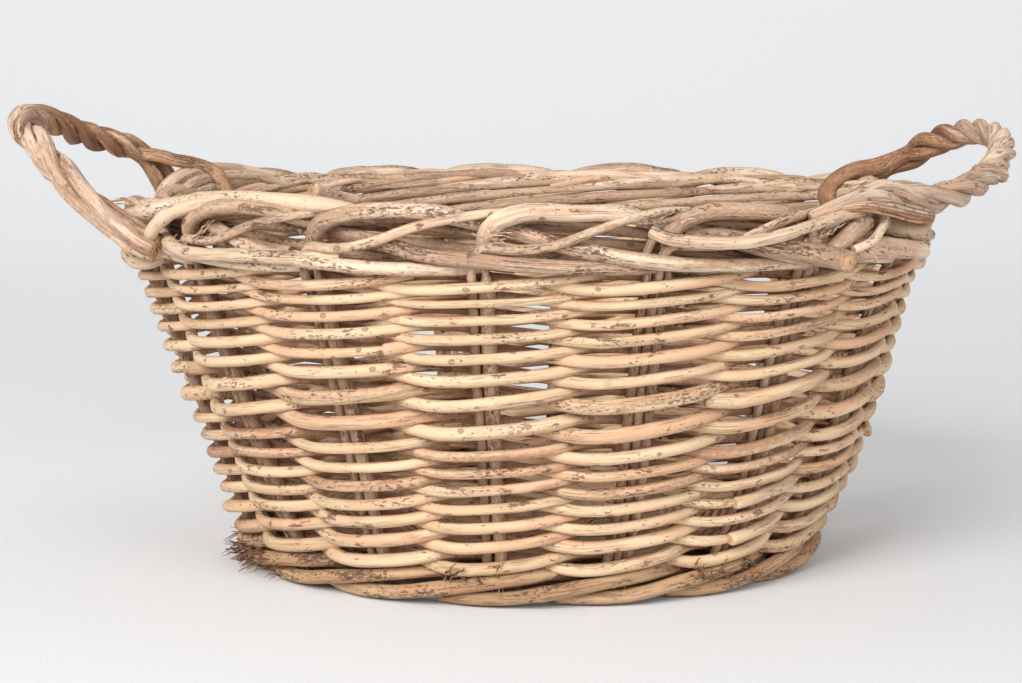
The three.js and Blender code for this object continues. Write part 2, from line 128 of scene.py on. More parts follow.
def belly(height):
    return float(np.interp(height, [h for h, _ in BELLY], [s for _, s in BELLY]))


def oval(place, height):
    """A point on the wall's middle surface, without its unevenness."""
    angle = bearing(place)
    c, s = math.cos(angle), math.sin(angle)
    length = BASE_HALF_LENGTH + height * FLARE + (belly(height) if c > 0 else 0)
    width = BASE_HALF_WIDTH + height * FLARE
    lift = FAR_RIM_LIFT * far(place) * (max(0, height) / BORDER_HEIGHT) ** 2
    return Vector((MIDDLE.x + length * c, MIDDLE.y + width * s, height + lift))


# How far the wall strays from the oval, how high a sway and a dent in it are, and the height from
# which it strays in full.
UNEVEN = 1.5
SWAY_HEIGHT = 45
DENT_HEIGHT = 70
UNEVEN_FROM = 60


def wall(place, height):
    """The uneven wall at a place and a height: the point, and the ways along, up and out."""
    point = oval(place, height)
    along = (oval(place + 0.02, height) - oval(place - 0.02, height)).normalized()
    slope = oval(place, height + 1) - oval(place, height - 1)
    slope = (slope - along * slope.dot(along)).normalized()
    out = along.cross(slope)
    angle = bearing(place)
    around = (3 * math.cos(angle), 3 * math.sin(angle))
    firm = min(1, max(0, height / UNEVEN_FROM))
    sway = UNEVEN * firm * noise.noise(Vector((*around, height / SWAY_HEIGHT)))
    press = UNEVEN * firm * noise.noise(Vector((*around, height / DENT_HEIGHT + 9)))
    return point + slope * sway + out * press, along, slope, out


def by_wall(place, height, out=0, slope=0, along=0):
    point, way_along, way_up, way_out = wall(place, height)
    return point + way_out * out + way_up * slope + way_along * along


def level(place, height, out=0, up=0, along=0):
    """A point beside the wall, with its offsets level and upright."""
    point, way_along, _, _ = wall(place, height)
    level_out = way_along.cross(Vector((0, 0, 1))).normalized()
    return point + level_out * out + Vector((0, 0, up)) + way_along * along


def at_border(degrees, out=0, up=0, along=0):
    """A point beside the border's middle line."""
    return level(place_at(degrees), WALL_TOP, out, BORDER_HEIGHT - WALL_TOP + up, along)


def from_border(way):
    """A rod's controls, from [bearing, out, up, and more] beside the border's middle line."""
    return [(*at_border(degrees, out, up), *rest) for degrees, out, up, *rest in way]


def through(controls, spacing=RING_SPACING):
    """Points every few millimetres on a smooth line through controls (x, y, z, diameter, bark)."""
    p = np.array(controls, float)
    p = np.vstack([2 * p[0] - p[1], p, 2 * p[-1] - p[-2]])
    made = []
    for a, b, c, d in zip(p, p[1:], p[2:], p[3:]):
        gaps = [max(1e-6, np.linalg.norm(v[:3])) ** 0.5 for v in (b - a, c - b, d - c)]
        t0, t1, t2, t3 = np.cumsum([0, *gaps])
        steps = max(1, round(np.linalg.norm((c - b)[:3]) / spacing))
        for t in np.linspace(t1, t2, steps, endpoint=False):
            ab = a + (b - a) * (t - t0) / (t1 - t0)
            bc = b + (c - b) * (t - t1) / (t2 - t1)
            cd = c + (d - c) * (t - t2) / (t3 - t2)
            abc = ab + (bc - ab) * (t - t0) / (t2 - t0)
            bcd = bc + (cd - bc) * (t - t1) / (t3 - t1)
            made.append(abc + (bcd - abc) * (t - t1) / (t2 - t1))
    made.append(p[-2])
    return made


def blunted(points):
    """The same rod with the edges of its two cut ends worn off."""
    ends = []
    for end, inner in ((points[0], points[1]), (points[-1], points[-2])):
        share = min(0.4, END_EDGE / np.linalg.norm((inner - end)[:3]))
        face = end.copy()
        face[3] *= END_SHARE
        ends.append((face, end + (inner - end) * share))
    return np.vstack([*ends[0], points[1:-1], ends[1][1], ends[1][0]])


def rod(points, tone=0.0, bark=0.0, knots=0.05, seed=0, grooves=0.0):
    """A rod of a piece, with the swellings of its knots. Points are (x, y, z, diameter), or end with a
    share of bark each, where that is not the same all along: 0 is peeled, 1 has its bark, and more is
    darker, with soil, and with painted shade where a rod passes inside or stands in the weave."""
    points = np.array(points, float)
    if points.shape[1] == 4:
        points = np.column_stack([points, np.full(len(points), bark)])
    run = run_of(points)
    pick = random.Random(seed)
    waver = np.array([noise.noise(Vector((s / WAVER_LENGTH, seed * 3.7, 0))) for s in run])
    grown = 1 + GIRTH_WAVER * waver
    place = pick.uniform(*FIRST_KNOT)
    while place < run[-1]:
        grown += knots * pick.uniform(*KNOT_SIZES) * np.exp(-(((run - place) / KNOT_HALF_LENGTH) ** 2))
        place += pick.uniform(*KNOT_GAPS)
    points[:, 3] *= grown
    points = blunted(points)
    return {
        "points": points, "run": run_of(points), "tone": tone, "start": pick.uniform(0, PATTERN_METRES),
        "seed": seed, "grooves": grooves,
    }


def run_of(points):
    """How far along a rod each of its points is."""
    return np.concatenate([[0], np.cumsum(np.linalg.norm(np.diff(points[:, :3], axis=0), axis=1))])


# Edges sharper than this stay sharp.
SHARP_DEG = 50


def piece_of(name, rods, node_names, finish, roundness=ROUNDNESS):
    """One piece made of round rods: a curve with a point to each ring, made a mesh."""
    sides = 4 + 2 * roundness
    bpy.ops.object.select_all(action="DESELECT")
    bpy.ops.curve.primitive_bezier_curve_add()
    curve = bpy.context.object.data
    curve.splines.clear()
    curve.dimensions = "3D"
    curve.twist_mode = "MINIMUM"
    curve.bevel_depth = MM
    curve.bevel_resolution = roundness
    for one in rods:
        spline = curve.splines.new("POLY")
        spline.points.add(len(one["points"]) - 1)
        for point, (x, y, z, diameter, _) in zip(spline.points, one["points"]):
            point.co = (x * MM, y * MM, z * MM, 1)
            point.radius = diameter / 2
    bpy.ops.object.convert(target="MESH")
    piece = bpy.context.object
    piece.name = name
    piece.data.name = name
    wear(piece.data, rods, sides)
    record_grain(piece.data, rods, sides)
    bpy.ops.object.mode_set(mode="EDIT")
    bpy.ops.mesh.select_all(action="SELECT")
    bpy.ops.mesh.fill_holes(sides=0)
    bpy.ops.mesh.select_all(action="SELECT")
    bpy.ops.mesh.normals_make_consistent(inside=False)
    bpy.ops.object.mode_set(mode="OBJECT")
    bpy.ops.object.shade_smooth_by_angle(angle=math.radians(SHARP_DEG))
    bpy.ops.object.select_all(action="DESELECT")
    piece.data.materials.clear()
    piece.data.materials.append(finish)
    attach(piece, "root")
    if node_names:
        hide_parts(*node_names)


def wear(mesh, rods, sides):
    """Takes each ring of points out of round, and cuts the grooves that run along some rods."""
    spots = np.empty(len(mesh.vertices) * 3, np.float32)
    mesh.vertices.foreach_get("co", spots)
    spots = spots.reshape(-1, 3)
    first = 0
    for one in rods:
        rings = len(one["points"])
        part = spots[first:first + rings * sides].reshape(rings, sides, 3)
        centre = one["points"][:, None, :3] * MM
        part[:] = centre + (part - centre) * section(one, sides)[..., None]
        first += rings * sides
    mesh.vertices.foreach_set("co", spots.ravel())


# A rod is out of round by a share of its radius: it is oval, and a little three-sided, and both turn
# along it by a radian in so many millimetres.
OUT_OF_ROUND = 0.045
OVAL_TURN, THREE_SIDED_TURN = 60, 35
# Creases, three and four round a rod. They drift round it, sway by so many radians, and are deeper in
# one place than another, each at its own millimetres to a radian.
CREASES = (3, 4)
DRIFT_TURN, CREASE_SWAY, SWAY_TURN, DEPTH_TURN = (70, 140), 0.25, 23, (12, 30)
CREASE_LEAST, CREASE_VARIES = 0.6, 0.4
SECTION_SEEDS = 5000


def section(one, sides):
    """A rod's outline at each of its rings, as shares of its radius."""
    pick = random.Random(one["seed"] + SECTION_SEEDS)
    turns = np.arange(sides)[None] * 2 * math.pi / sides
    run = one["run"][:, None]
    outline = 1 + OUT_OF_ROUND * np.sin(2 * turns + pick.uniform(0, 6) + run / OVAL_TURN)
    outline += OUT_OF_ROUND * 0.5 * np.sin(3 * turns + pick.uniform(0, 6) - run / THREE_SIDED_TURN)
    for count in CREASES:
        drift = pick.uniform(0, 6) + run / pick.uniform(*DRIFT_TURN) + CREASE_SWAY * np.sin(run / SWAY_TURN)
        crease = 1 - np.abs(np.sin(count * turns / 2 + drift))
        depth = CREASE_LEAST + CREASE_VARIES * np.sin(run / pick.uniform(*DEPTH_TURN))
        outline -= one["grooves"] * crease ** 3 * depth
    return outline


def record_grain(mesh, rods, sides):
    """Writes on each point where it is in its rod, across and along, and the rod's tone, bark and girth."""
    grain, tones, barks, girths = [], [], [], []
    turns = np.arange(sides) * 2 * math.pi / sides
    for one in rods:
        radii = one["points"][:, 3] / 2 * MM
        across = radii[:, None, None] * np.stack([np.cos(turns), np.sin(turns)], -1)[None]
        along = np.broadcast_to(one["run"][:, None, None] * MM + one["start"], (len(radii), sides, 1))
        grain.append(np.concatenate([across, along], -1).reshape(-1, 3))
        tones.append(np.full(len(radii) * sides, one["tone"]))
        barks.append(np.repeat(one["points"][:, 4], sides))
        girths.append(np.repeat(radii, sides))
    grain = np.concatenate(grain).astype(np.float32)
    mesh.attributes.new("grain", "FLOAT_VECTOR", "POINT").data.foreach_set("vector", grain.ravel())
    for name, values in (("tone", tones), ("bark", barks), ("girth", girths)):
        values = np.concatenate(values).astype(np.float32)
        mesh.attributes.new(name, "FLOAT", "POINT").data.foreach_set("value", values)


# Materials.
class Value:
    """A shader socket that can be written into sums, each operator adding its Math node."""

    def __init__(self, tree, socket):
        self.tree, self.socket = tree, socket

    def math(self, operation, *values):
        node = self.tree.nodes.new("ShaderNodeMath")
        node.operation = operation
        for slot, value in zip(node.inputs, values):
            if isinstance(value, Value):
                self.tree.links.new(value.socket, slot)
            else:
                slot.default_value = value
        return Value(self.tree, node.outputs[0])

    def __add__(self, other):
        return self.math("ADD", self, other)

    __radd__ = __add__

    def __sub__(self, other):
        return self.math("SUBTRACT", self, other)

    def __rsub__(self, other):
        return self.math("SUBTRACT", other, self)

    def __mul__(self, other):
        return self.math("MULTIPLY", self, other)

    __rmul__ = __mul__

    def __truediv__(self, other):
        return self.math("DIVIDE", self, other)

    def size(self):
        return self.math("ABSOLUTE", self)

    def root(self):
        return self.math("SQRT", self)

    def sine(self):
        return self.math("SINE", self)

    def cosine(self):
        return self.math("COSINE", self)

    def output(self, name):
        """Another output of the node that this value comes from."""
        return Value(self.tree, self.socket.node.outputs[name])

    def rise(self, start, end):
        """0 before start, 1 after end, and smooth between."""
        node = self.tree.nodes.new("ShaderNodeMapRange")
        node.interpolation_type = "SMOOTHSTEP"
        self.tree.links.new(self.socket, node.inputs["Value"])
        node.inputs["From Min"].default_value = start
        node.inputs["From Max"].default_value = end
        return Value(self.tree, node.outputs["Result"])


class Nodes:
    """The nodes of a material, or of the world."""

    def __init__(self, owner):
        owner.use_nodes = True
        self.tree = owner.node_tree
        self.tree.nodes.clear()

    def node(self, kind, output, settings=(), **sockets):
        """Adds a node, sets it, gives its sockets their values or links, and hands back an output."""
        node = self.tree.nodes.new(kind)
        for key, value in dict(settings).items():
            setattr(node, key, value)
        for key, value in sockets.items():
            name = key.replace("_", " ")
            slot = next(s for s in node.inputs if s.identifier == key or s.name == name)
            if isinstance(value, Value):
                self.tree.links.new(value.socket, slot)
            else:
                slot.default_value = value
        found = next(s for s in node.outputs if output in (s.identifier, s.name))
        return Value(self.tree, found)

    def finish(self, shader, kind="ShaderNodeOutputMaterial"):
        """Hands the shader to the output of the material, or of another kind of tree."""
        output = self.tree.nodes.new(kind)
        self.tree.links.new(shader.socket, output.inputs["Surface"])


class Finish(Nodes):
    """A material, and the patterns that it is made of."""

    def __init__(self, name):
        self.material = bpy.data.materials.new(name)
        super().__init__(self.material)

    def mix(self, factor, a, b, blend="MIX"):
        settings = {"data_type": "RGBA", "blend_type": blend}
        sockets = {"Factor_Float": factor, "A_Color": a, "B_Color": b}
        return self.node("ShaderNodeMix", "Result_Color", settings, **sockets)

    def stretched(self, vector, across, along):
        """Grain coordinates in which a pattern is so many units a metre across and along a rod."""
        return self.node("ShaderNodeMapping", "Vector", Vector=vector, Scale=(across, across, along))

    def noise(self, vector, detail=3.0, roughness=0.5):
        sockets = {"Vector": vector, "Scale": 1.0, "Detail": detail, "Roughness": roughness}
        return self.node("ShaderNodeTexNoise", "Fac", **sockets)

    def cells(self, along, per_metre):
        """A spot at random in each length along a rod: how far off it is, in such lengths."""
        settings = {"voronoi_dimensions": "1D"}
        return self.node("ShaderNodeTexVoronoi", "Distance", settings, W=along * per_metre, Scale=1.0)

    def attribute(self, name, output="Fac"):
        return self.node("ShaderNodeAttribute", output, {"attribute_name": name})


def tint(red, green, blue):
    """A colour written as 0 to 255, as Blender wants it."""
    parts = [v / 255 for v in (red, green, blue)]
    return (*[v / 12.92 if v <= 0.04045 else ((v + 0.055) / 1.055) ** 2.4 for v in parts], 1)


DARK = tint(74, 55, 46)
SCAB = tint(112, 76, 64)
CUT_WOOD = tint(206, 164, 122)
CUT_RING = tint(176, 130, 92)
PITH = tint(150, 98, 64)
# The tint of soil and of painted shade.
SOIL_AND_SHADE = tint(176, 150, 132)

# Knots and rings on a rod: how many a metre, and a knot's half width and that of its eye, in metres.
KNOTS_PER_METRE = 38.0
RINGS_PER_METRE = 15.0
KNOT_RADIUS = 0.0017
EYE_RADIUS = 0.0006
# Of the lengths, the share that has no knot. A knot is flattened along the rod.
NO_KNOT = 0.42
KNOT_FLATTENED = 0.7
# How many radians of the growth rings' wave a metre of a cut end has.
GROWTH_WAVE = 5200


def from_middle(f, grain):
    """Where a point is in its rod: across, over, and how far from the middle."""
    across = f.node("ShaderNodeSeparateXYZ", "X", Vector=grain)
    over = across.output("Y")
    return across, over, (across * across + over * over).root()


def knots(f, grain, uneven):
    """Where a rod has the rim of a knot, and the eye in it: one in each length, on any side."""
    across, over, radius = from_middle(f, grain)
    cell = f.cells(across.output("Z"), KNOTS_PER_METRE)
    # The cell's colour, read as a number from 0 to 1.
    chance = cell.output("Color") * 1.0
    side = chance * 50
    off_across = across - radius * side.cosine()
    off_over = over - radius * side.sine()
    off_along = cell * (KNOT_FLATTENED / KNOTS_PER_METRE)
    reach = off_across * off_across + off_over * off_over + off_along * off_along
    reach = reach.root() * (chance * 0.9 + 0.7) + (uneven - 0.5) * 0.0026
    plain = chance.rise(NO_KNOT, NO_KNOT + 0.02)
    rim = reach.rise(EYE_RADIUS, EYE_RADIUS * 1.8) * (1 - reach.rise(KNOT_RADIUS * 0.75, KNOT_RADIUS * 1.15))
    eye = 1 - reach.rise(EYE_RADIUS * 0.5, EYE_RADIUS * 1.3)
    return rim * plain, eye * plain


def rings(f, grain, uneven, patches):
    """Hair-thin rings across a rod, where leaves stood, each part of the way round."""
    along = f.node("ShaderNodeSeparateXYZ", "Z", Vector=grain)
    off = f.cells(along, RINGS_PER_METRE) * (1 / RINGS_PER_METRE) + (uneven - 0.5) * 0.0012
    return (1 - off.size().rise(0.00012, 0.0004)) * patches.rise(0.52, 0.66)


def cut_end(f, grain, girth):
    """Where the face of a cut end is, and on it the distance and the share of the way out."""
    _, _, radius = from_middle(f, grain)
    share = radius / girth
    return 1 - share.rise(0.78, 0.85), radius, share


# The patterns on a rod: how many of their units a metre has across it and along it.
PATCHES, BROAD, FINE, MOTTLE = (90, 15), (210, 7), (1700, 38), (700, 330)
LINES, CRACKED, CLUSTERS, SPOTS = (950, 16), (130, 18), (75, 21), (820, 330)
DASHES, RAGS, CLUMPS, CRUST = (520, 120), (160, 24), (190, 60), (900, 420)


def willow(
        name, pale, flushed, shaded, bark_pale, bark_brown, dark,
        streaks=0.16, specks=1.0, rags=0.0):
    """Weathered willow, all laid along the rod: two wood colours in long patches, lengthwise streaks,
    and where the rod has bark its two colours; on both, specks, dashes, knots, rings, scabs and cracks."""
    f = Finish(name)
    grain = f.attribute("grain", "Vector")
    tone = f.attribute("tone")
    bark = f.attribute("bark")
    girth = f.attribute("girth")
    patches = f.noise(f.stretched(grain, *PATCHES), 3.0, 0.55)
    broad = f.noise(f.stretched(grain, *BROAD), 2.0, 0.5)
    fine = f.noise(f.stretched(grain, *FINE), 4.0, 0.62)
    mottle = f.noise(f.stretched(grain, *MOTTLE), 4.0, 0.6)
    wood = f.mix((patches + tone * 0.1).rise(0.45, 0.66), pale, flushed)
    wood = f.mix((broad - tone * 0.16).rise(0.42, 0.78) * 0.6, wood, shaded)
    skin = f.mix((patches * 0.5 + mottle * 0.5 + tone * 0.08).rise(0.4, 0.6), bark_pale, bark_brown)
    edge = (bark + (broad - 0.5) * 0.7 + (mottle - 0.5) * 0.35).rise(0.34, 0.6)
    colour = f.mix(edge, wood, skin)
    shade = fine * (streaks + edge * 0.14) + (1 - (streaks + edge * 0.14) * 0.52)
    shade = shade * (mottle * 0.16 + 0.92)
    grey = f.node("ShaderNodeCombineColor", "Color", Red=shade, Green=shade, Blue=shade)
    colour = f.mix(1.0, colour, grey, "MULTIPLY")
    # Cracks and split fibres: thin dark lines along the rod, in places.
    lines = f.noise(f.stretched(grain, *LINES), 2.0, 0.5)
    cracked = f.noise(f.stretched(grain, *CRACKED)).rise(0.5 - rags, 0.62 - rags)
    cracks = (1 - (lines - 0.5).size().rise(0.006, 0.022)) * cracked
    colour = f.mix(cracks * (edge * 0.25 + 0.5), colour, dark)
    # Specks and dashes in clusters.
    cluster = f.noise(f.stretched(grain, *CLUSTERS), 2.0, 0.5)
    spots = f.noise(f.stretched(grain, *SPOTS), 2.0, 0.6)
    dots = (spots + (cluster - 0.5) * 0.7 * specks + edge * 0.02).rise(0.67, 0.73)
    dash = f.noise(f.stretched(grain, *DASHES), 3.0, 0.65)
    dashes = (dash + (cluster - 0.5) * 0.6 * specks).rise(0.71, 0.78)
    colour = f.mix(dots * 0.72, colour, dark)
    colour = f.mix(dashes * 0.62, colour, dark)
    # Rags of thin grey-brown bark left on the peeled wood.
    left = f.noise(f.stretched(grain, *RAGS), 5.0, 0.6)
    ragged = (left + bark * 0.12).rise(0.655 - rags, 0.70 - rags)
    colour = f.mix(ragged * 0.55, colour, bark_brown)
    rim, eye = knots(f, grain, mottle)
    ring = rings(f, grain, mottle, patches)
    colour = f.mix(rim * 0.66, colour, SCAB)
    colour = f.mix(eye * 0.5, colour, dark)
    colour = f.mix(ring * 0.34, colour, dark)
    # Scabs: small clumps of dark, reddish bark that stayed on.
    clump = f.noise(f.stretched(grain, *CLUMPS), 2.0, 0.5)
    crust = f.noise(f.stretched(grain, *CRUST), 3.0, 0.65)
    scabs = (clump + (crust - 0.5) * 0.5).rise(0.69, 0.725)
    colour = f.mix(scabs * 0.8, colour, SCAB)
    # Cut ends: pale wood with faint growth rings round a brown pith.
    cut, radius, share = cut_end(f, grain, girth)
    growth = (radius * GROWTH_WAVE).sine() * 0.5 + 0.5
    face = f.mix(growth * 0.4, CUT_WOOD, CUT_RING)
    face = f.mix(1 - share.rise(0.1, 0.2), face, PITH)
    colour = f.mix(cut, colour, face)
    # Soil and painted shade, where the rod has more than its bark: a darker tint is mixed in, which paints
    # shade on rods where they pass inside or stand in the weave.
    soil_and_shade = (bark + (mottle - 0.5) * 0.3).rise(1.0, 1.5)
    colour = f.mix(soil_and_shade * 0.75, colour, f.mix(0.8, colour, SOIL_AND_SHADE, "MULTIPLY"))
    # Surface: the streaks stand a little proud, cracks and specks are cut in, bark and knots are rough.
    relief = fine * 0.4 + mottle * (0.35 + edge * 0.7) + ragged * 0.5 + rim * 0.8 - eye * 0.4
    relief = relief - cracks * 0.9 - dots * 0.4 - ring * 0.5 + scabs * crust * 1.4
    bump = f.node("ShaderNodeBump", "Normal", Height=relief, Strength=0.7, Distance=0.0007)
    roughness = 0.58 + edge * 0.14 + ragged * 0.1 + dots * 0.15
    bsdf = f.node(
        "ShaderNodeBsdfPrincipled", "BSDF", Base_Color=colour, Roughness=roughness, Normal=bump,
        Specular_IOR_Level=0.3,
    )
    f.finish(bsdf)
    return f.material


WALL_WILLOW = willow(
    "wall willow", tint(221, 192, 157), tint(213, 170, 136), tint(192, 154, 117),
    tint(192, 156, 124), tint(166, 126, 98), DARK)
STAKE_BARK = willow(
    "stake bark", tint(222, 198, 170), tint(212, 172, 144), tint(192, 160, 132),
    tint(202, 172, 144), tint(170, 138, 112), DARK, streaks=0.22, specks=1.5, rags=0.02)
# The foot's willow is darker and redder than the wall's: partly its rods' own colour, partly painted shade
# for the shadow about the foot.
FOOT_WILLOW = willow(
    "foot willow", tint(190, 156, 120), tint(181, 137, 101), tint(158, 121, 87),
    tint(152, 115, 83), tint(118, 83, 61), DARK, streaks=0.24, specks=1.5, rags=0.03)
HANDLE_BARK = willow(
    "handle bark", tint(214, 188, 164), tint(196, 161, 135), tint(160, 132, 113),
    tint(192, 148, 114), tint(148, 106, 80), tint(66, 47, 40), streaks=0.5, specks=1.0, rags=0.08)
BASE_WILLOW = willow(
    "base willow", tint(206, 174, 138), tint(192, 152, 116), tint(168, 130, 98),
    tint(160, 124, 94), tint(126, 92, 70), DARK)
BASE_STICK = willow(
    "base stick", tint(190, 156, 122), tint(172, 132, 100), tint(150, 116, 88),
    tint(150, 114, 86), tint(118, 86, 64), DARK, streaks=0.3)


# The wall: fifteen rounds of pairing. A weaver is outside one stake and inside the next, passes
# over its partner on the way in and under it on the way out.
def round_height(number):
    low, high = frame_box(f"weaver_{number:02d}_a")
    return (low.z + high.z) / 2


# How firmly a weaver lies against a stake before it passes to the other side.
HOLD = 1.3


def twine(step, reach, rise):
    """Where a twined weaver is at so many stakes after it was outside one: out, and up the wall."""
    side = math.tanh(HOLD * math.cos(math.pi * step)) / math.tanh(HOLD)
    return reach * side, rise * math.sin(math.pi * step)


# Painted shade: how much darker and browner a rod is painted where it passes inside, behind the stakes,
# where shade falls.
INSIDE_PAINTED_SHADE = 0.8

# A round's two rods start half way round from each other and lap by half a place. Each thins out along
# its way, its butt stands off the wall and its tip goes in under the next rod.
LAP = 0.5
FULL_AT_BUTT, THINS_OUT = 1.1, 0.22
ROOM_AT_STAKE = 0.5
BUTT_STEPS, BUTT_OUT, BUTT_UP = 6, 3.0, 1.0
TIP_STEPS, TIP_IN, TIP_DOWN, TIP_THINS = 14, 2.5, 2.0, 0.35
BARK_ON_WEAVERS = [0, 0, 0, 0.25, 0.45]


def weaver(number, letter):
    diameter = ROUND_DIAMETERS[number - 1]
    height = round_height(number)
    seed = number * 2 + (letter == "b")
    pick = random.Random(seed)
    start = pick.uniform(0, PLACES / 2) + (PLACES / 2 if letter == "b" else 0)
    reach = STAKE_DIAMETER / 2 + diameter / 2 + ROOM_AT_STAKE
    points = []
    total = round((PLACES + LAP) * STEPS_PER_PLACE)
    for i in range(total + 1):
        place = start + i / STEPS_PER_PLACE
        out, up = twine(place - (letter == "b"), reach, PINCH * diameter)
        inside = max(0, -out / reach)
        share = i / total
        size = diameter * (FULL_AT_BUTT - THINS_OUT * share) * (1 + FAR_WEAVERS_FULLER * far(place))
        butt = max(0, 1 - i / BUTT_STEPS)
        tip = max(0, 1 - (total - i) / TIP_STEPS)
        up += WANDER * noise.noise(Vector((place / WANDER_STAKES, seed, 40)))
        out += BUTT_OUT * butt - TIP_IN * tip
        up += BUTT_UP * butt - TIP_DOWN * tip
        size *= 1 - TIP_THINS * tip
        # Where the weaver passes inside, painted shade is added to its bark share.
        points.append((*by_wall(place, height, out=out, slope=up), size, inside * INSIDE_PAINTED_SHADE))
    bark = pick.choice(BARK_ON_WEAVERS)
    points = [(*point[:4], point[4] + bark) for point in points]
    one = rod(points, tone=pick.uniform(-1, 1), seed=seed)
    name = f"weaver_{number:02d}_{letter}"
    piece_of(f"rod_{name}", [one], [name], WALL_WILLOW)


for number in range(1, ROUNDS + 1):
    for letter in "ab":
        weaver(number, letter)

# The foot: a wale of three thick rods. Each comes out low, rises outside two stakes on a slant,
# passes over the next two rods and goes behind the third stake. Its way is given by
# [places along, distance out, height]. Each rod ends where the next one started.
FOOT_LOW = 5.2
FOOT_WAY = [
    (0.0, 1.5, FOOT_LOW), (0.3, 7.0, FOOT_LOW), (0.65, 9.0, 6.4), (1.0, 9.3, 10.8), (1.35, 8.2, 14.8),
    (1.7, 5.0, 18.0), (2.05, -1.5, 19.5), (2.4, -6.5, 15.0), (2.7, -6.0, 8.0),
]
FOOT_RODS = 3
FOOT_TURNS = [6, 5, 5]
# The wale starts before its first stake, sways and rises unevenly, and has some bark. Where it passes inside
# the stakes it is painted with shade, in full this many millimetres in.
FOOT_AHEAD = 0.5
FOOT_SWAY = 0.8
FOOT_HEIGHT, FOOT_RISE = 15, 1.6
FOOT_BARK, FOOT_SHADE_DEPTH = 0.2, 3
# How thick one rod is beside another, and one place of it beside the next.
FOOT_GIRTHS, FOOT_SWELLS = (0.97, 1.06), (0.92, 1.05)


def foot_rod(first):
    pick = random.Random(70 + first)
    controls = []
    thick = FOOT_DIAMETER * pick.uniform(*FOOT_GIRTHS)
    for turn in range(FOOT_TURNS[first]):
        for places, out, height in FOOT_WAY:
            place = first + FOOT_RODS * turn + places - FOOT_AHEAD
            sway = FOOT_SWAY * noise.noise(Vector((place, first, 3)))
            risen = max(0, height - FOOT_LOW) / FOOT_HEIGHT
            rise = risen * FOOT_RISE * noise.noise(Vector((place, first, 7)))
            spot = level(place, height, out=out + sway, up=rise)
            # Painted shade on the rod's inner stretches, added to its bark share.
            inside = min(1, max(0, -out / FOOT_SHADE_DEPTH))
            size = thick * pick.uniform(*FOOT_SWELLS)
            controls.append((*spot, size, FOOT_BARK + inside * INSIDE_PAINTED_SHADE))
    return rod(through(controls), tone=pick.uniform(-0.6, 1), seed=70 + first)


piece_of(
    "foot_wale", [foot_rod(first) for first in range(FOOT_RODS)], ["foot_rod_a", "foot_rod_b"],
    FOOT_WILLOW)

# Stakes and the border. Each bundle's rods rise through the wall and are laid down to the right.
# A course is [places along, out, up, share of its thickness] from the border's middle line.
MAIN_COURSE = [
    (0.00, 1, -20, 0.7), (0.00, 3, -10, 0.9), (0.03, 5, 1, 1.05), (0.10, 7, 9, 1.1),
    (0.26, 8, 14, 1.05), (0.5, 8, 15.5, 1), (0.78, 6, 14, 0.98), (1.0, -4, 8.5, 0.95),
    (1.2, -3, 3.5, 0.93), (1.45, 5, -2, 0.9), (1.72, 10, -8, 0.88), (2.0, 11, -12, 0.86),
    (2.4, 10.5, -14.5, 0.84), (2.8, 7, -15.5, 0.8), (3.0, 1, -15.5, 0.78), (3.12, -5, -14, 0.76),
]
SECOND_COURSE = [
    (0.00, 2, -20, 1), (0.00, 5, -12, 1), (0.05, 9, -4, 1), (0.18, 12, -3.5, 1), (0.38, 12.5, -2, 1),
    (0.68, 11, 7, 0.95), (0.95, 4, 13.5, 0.9), (1.15, -3, 14.5, 0.85), (1.6, -6, 12, 0.8),
    (2.1, -8, 6, 0.75),
]
INNER_COURSE = [
    (0.00, 0, -20, 1), (-0.02, -2, -10, 1), (0.03, -4, 2, 1), (0.18, -5.5, 9, 1), (0.5, -5, 12.5, 1),
    (1.0, -5, 12.5, 0.95), (1.5, -7.5, 8, 0.9), (2.0, -9, 1.5, 0.85), (2.5, -9, -5, 0.8),
    (2.8, -7, -9, 0.75),
]
# A bundle's first, second and third rod: its course, and how thick it is in the border.
COURSES = [(MAIN_COURSE, 9.4), (SECOND_COURSE, 5.6), (INNER_COURSE, 6.6)]
BARK_ON_COURSES = [0.1, 0.25, 0.45, 0.6]

# How many of a course's points the rod takes to come free of its bundle, and its bark to thin out.
FREE_AFTER = 3
BARK_LEFT_ON_BEND = 5
# How far a course strays from its rule.
STRAY_OUT, STRAY_UP = 0.9, 1.1

# The border lies closer at the two ends: by how much, how many radians those are turned, and how
# sharply it comes on.
END_TUCK, TUCK_TURN, TUCK_SHARP = 4.0, 0.2, 6


def tuck(place):
    return END_TUCK * abs(math.cos(bearing(place) + TUCK_TURN)) ** TUCK_SHARP


# Where a handle's foot lies along the rim, the border is laid lower: [place, width, depth]. What is
# this far under the border's middle line stays, and what is that much higher is lowered in full.
DIPS = [(2.9, 0.8, 4.5), (12.65, 1.2, 8.5)]
DIP_FROM, DIP_OVER = 12, 20


def dip(place):
    return sum(depth * math.exp(-(((place - centre) / width) ** 2)) for centre, width, depth in DIPS)


def laid(course, k, thick, pick, along, bark):
    """The controls of a rod of stake k that is laid down in the border on a course."""
    controls = []
    for i, (places, out, up, share) in enumerate(course):
        free = min(1, i / FREE_AFTER)
        degrees = FIRST_STAKE_DEG + 360 / PLACES * (k + places)
        lower = dip(k + places) * min(1, max(0, (up + DIP_FROM) / DIP_OVER))
        fuller = 1 + FAR_BORDER_FULLER * far(k + places) * free
        out = out - free * tuck(k + places) + free * pick.uniform(-STRAY_OUT, STRAY_OUT)
        up = up - lower + free * pick.uniform(-STRAY_UP, STRAY_UP)
        spot = at_border(degrees, out, up, along=along * (1 - free))
        size = share * fuller * (thick if i > 1 else STAKE_DIAMETER)
        controls.append((*spot, size, 1 + (bark - 1) * min(1, i / BARK_LEFT_ON_BEND)))
    return controls


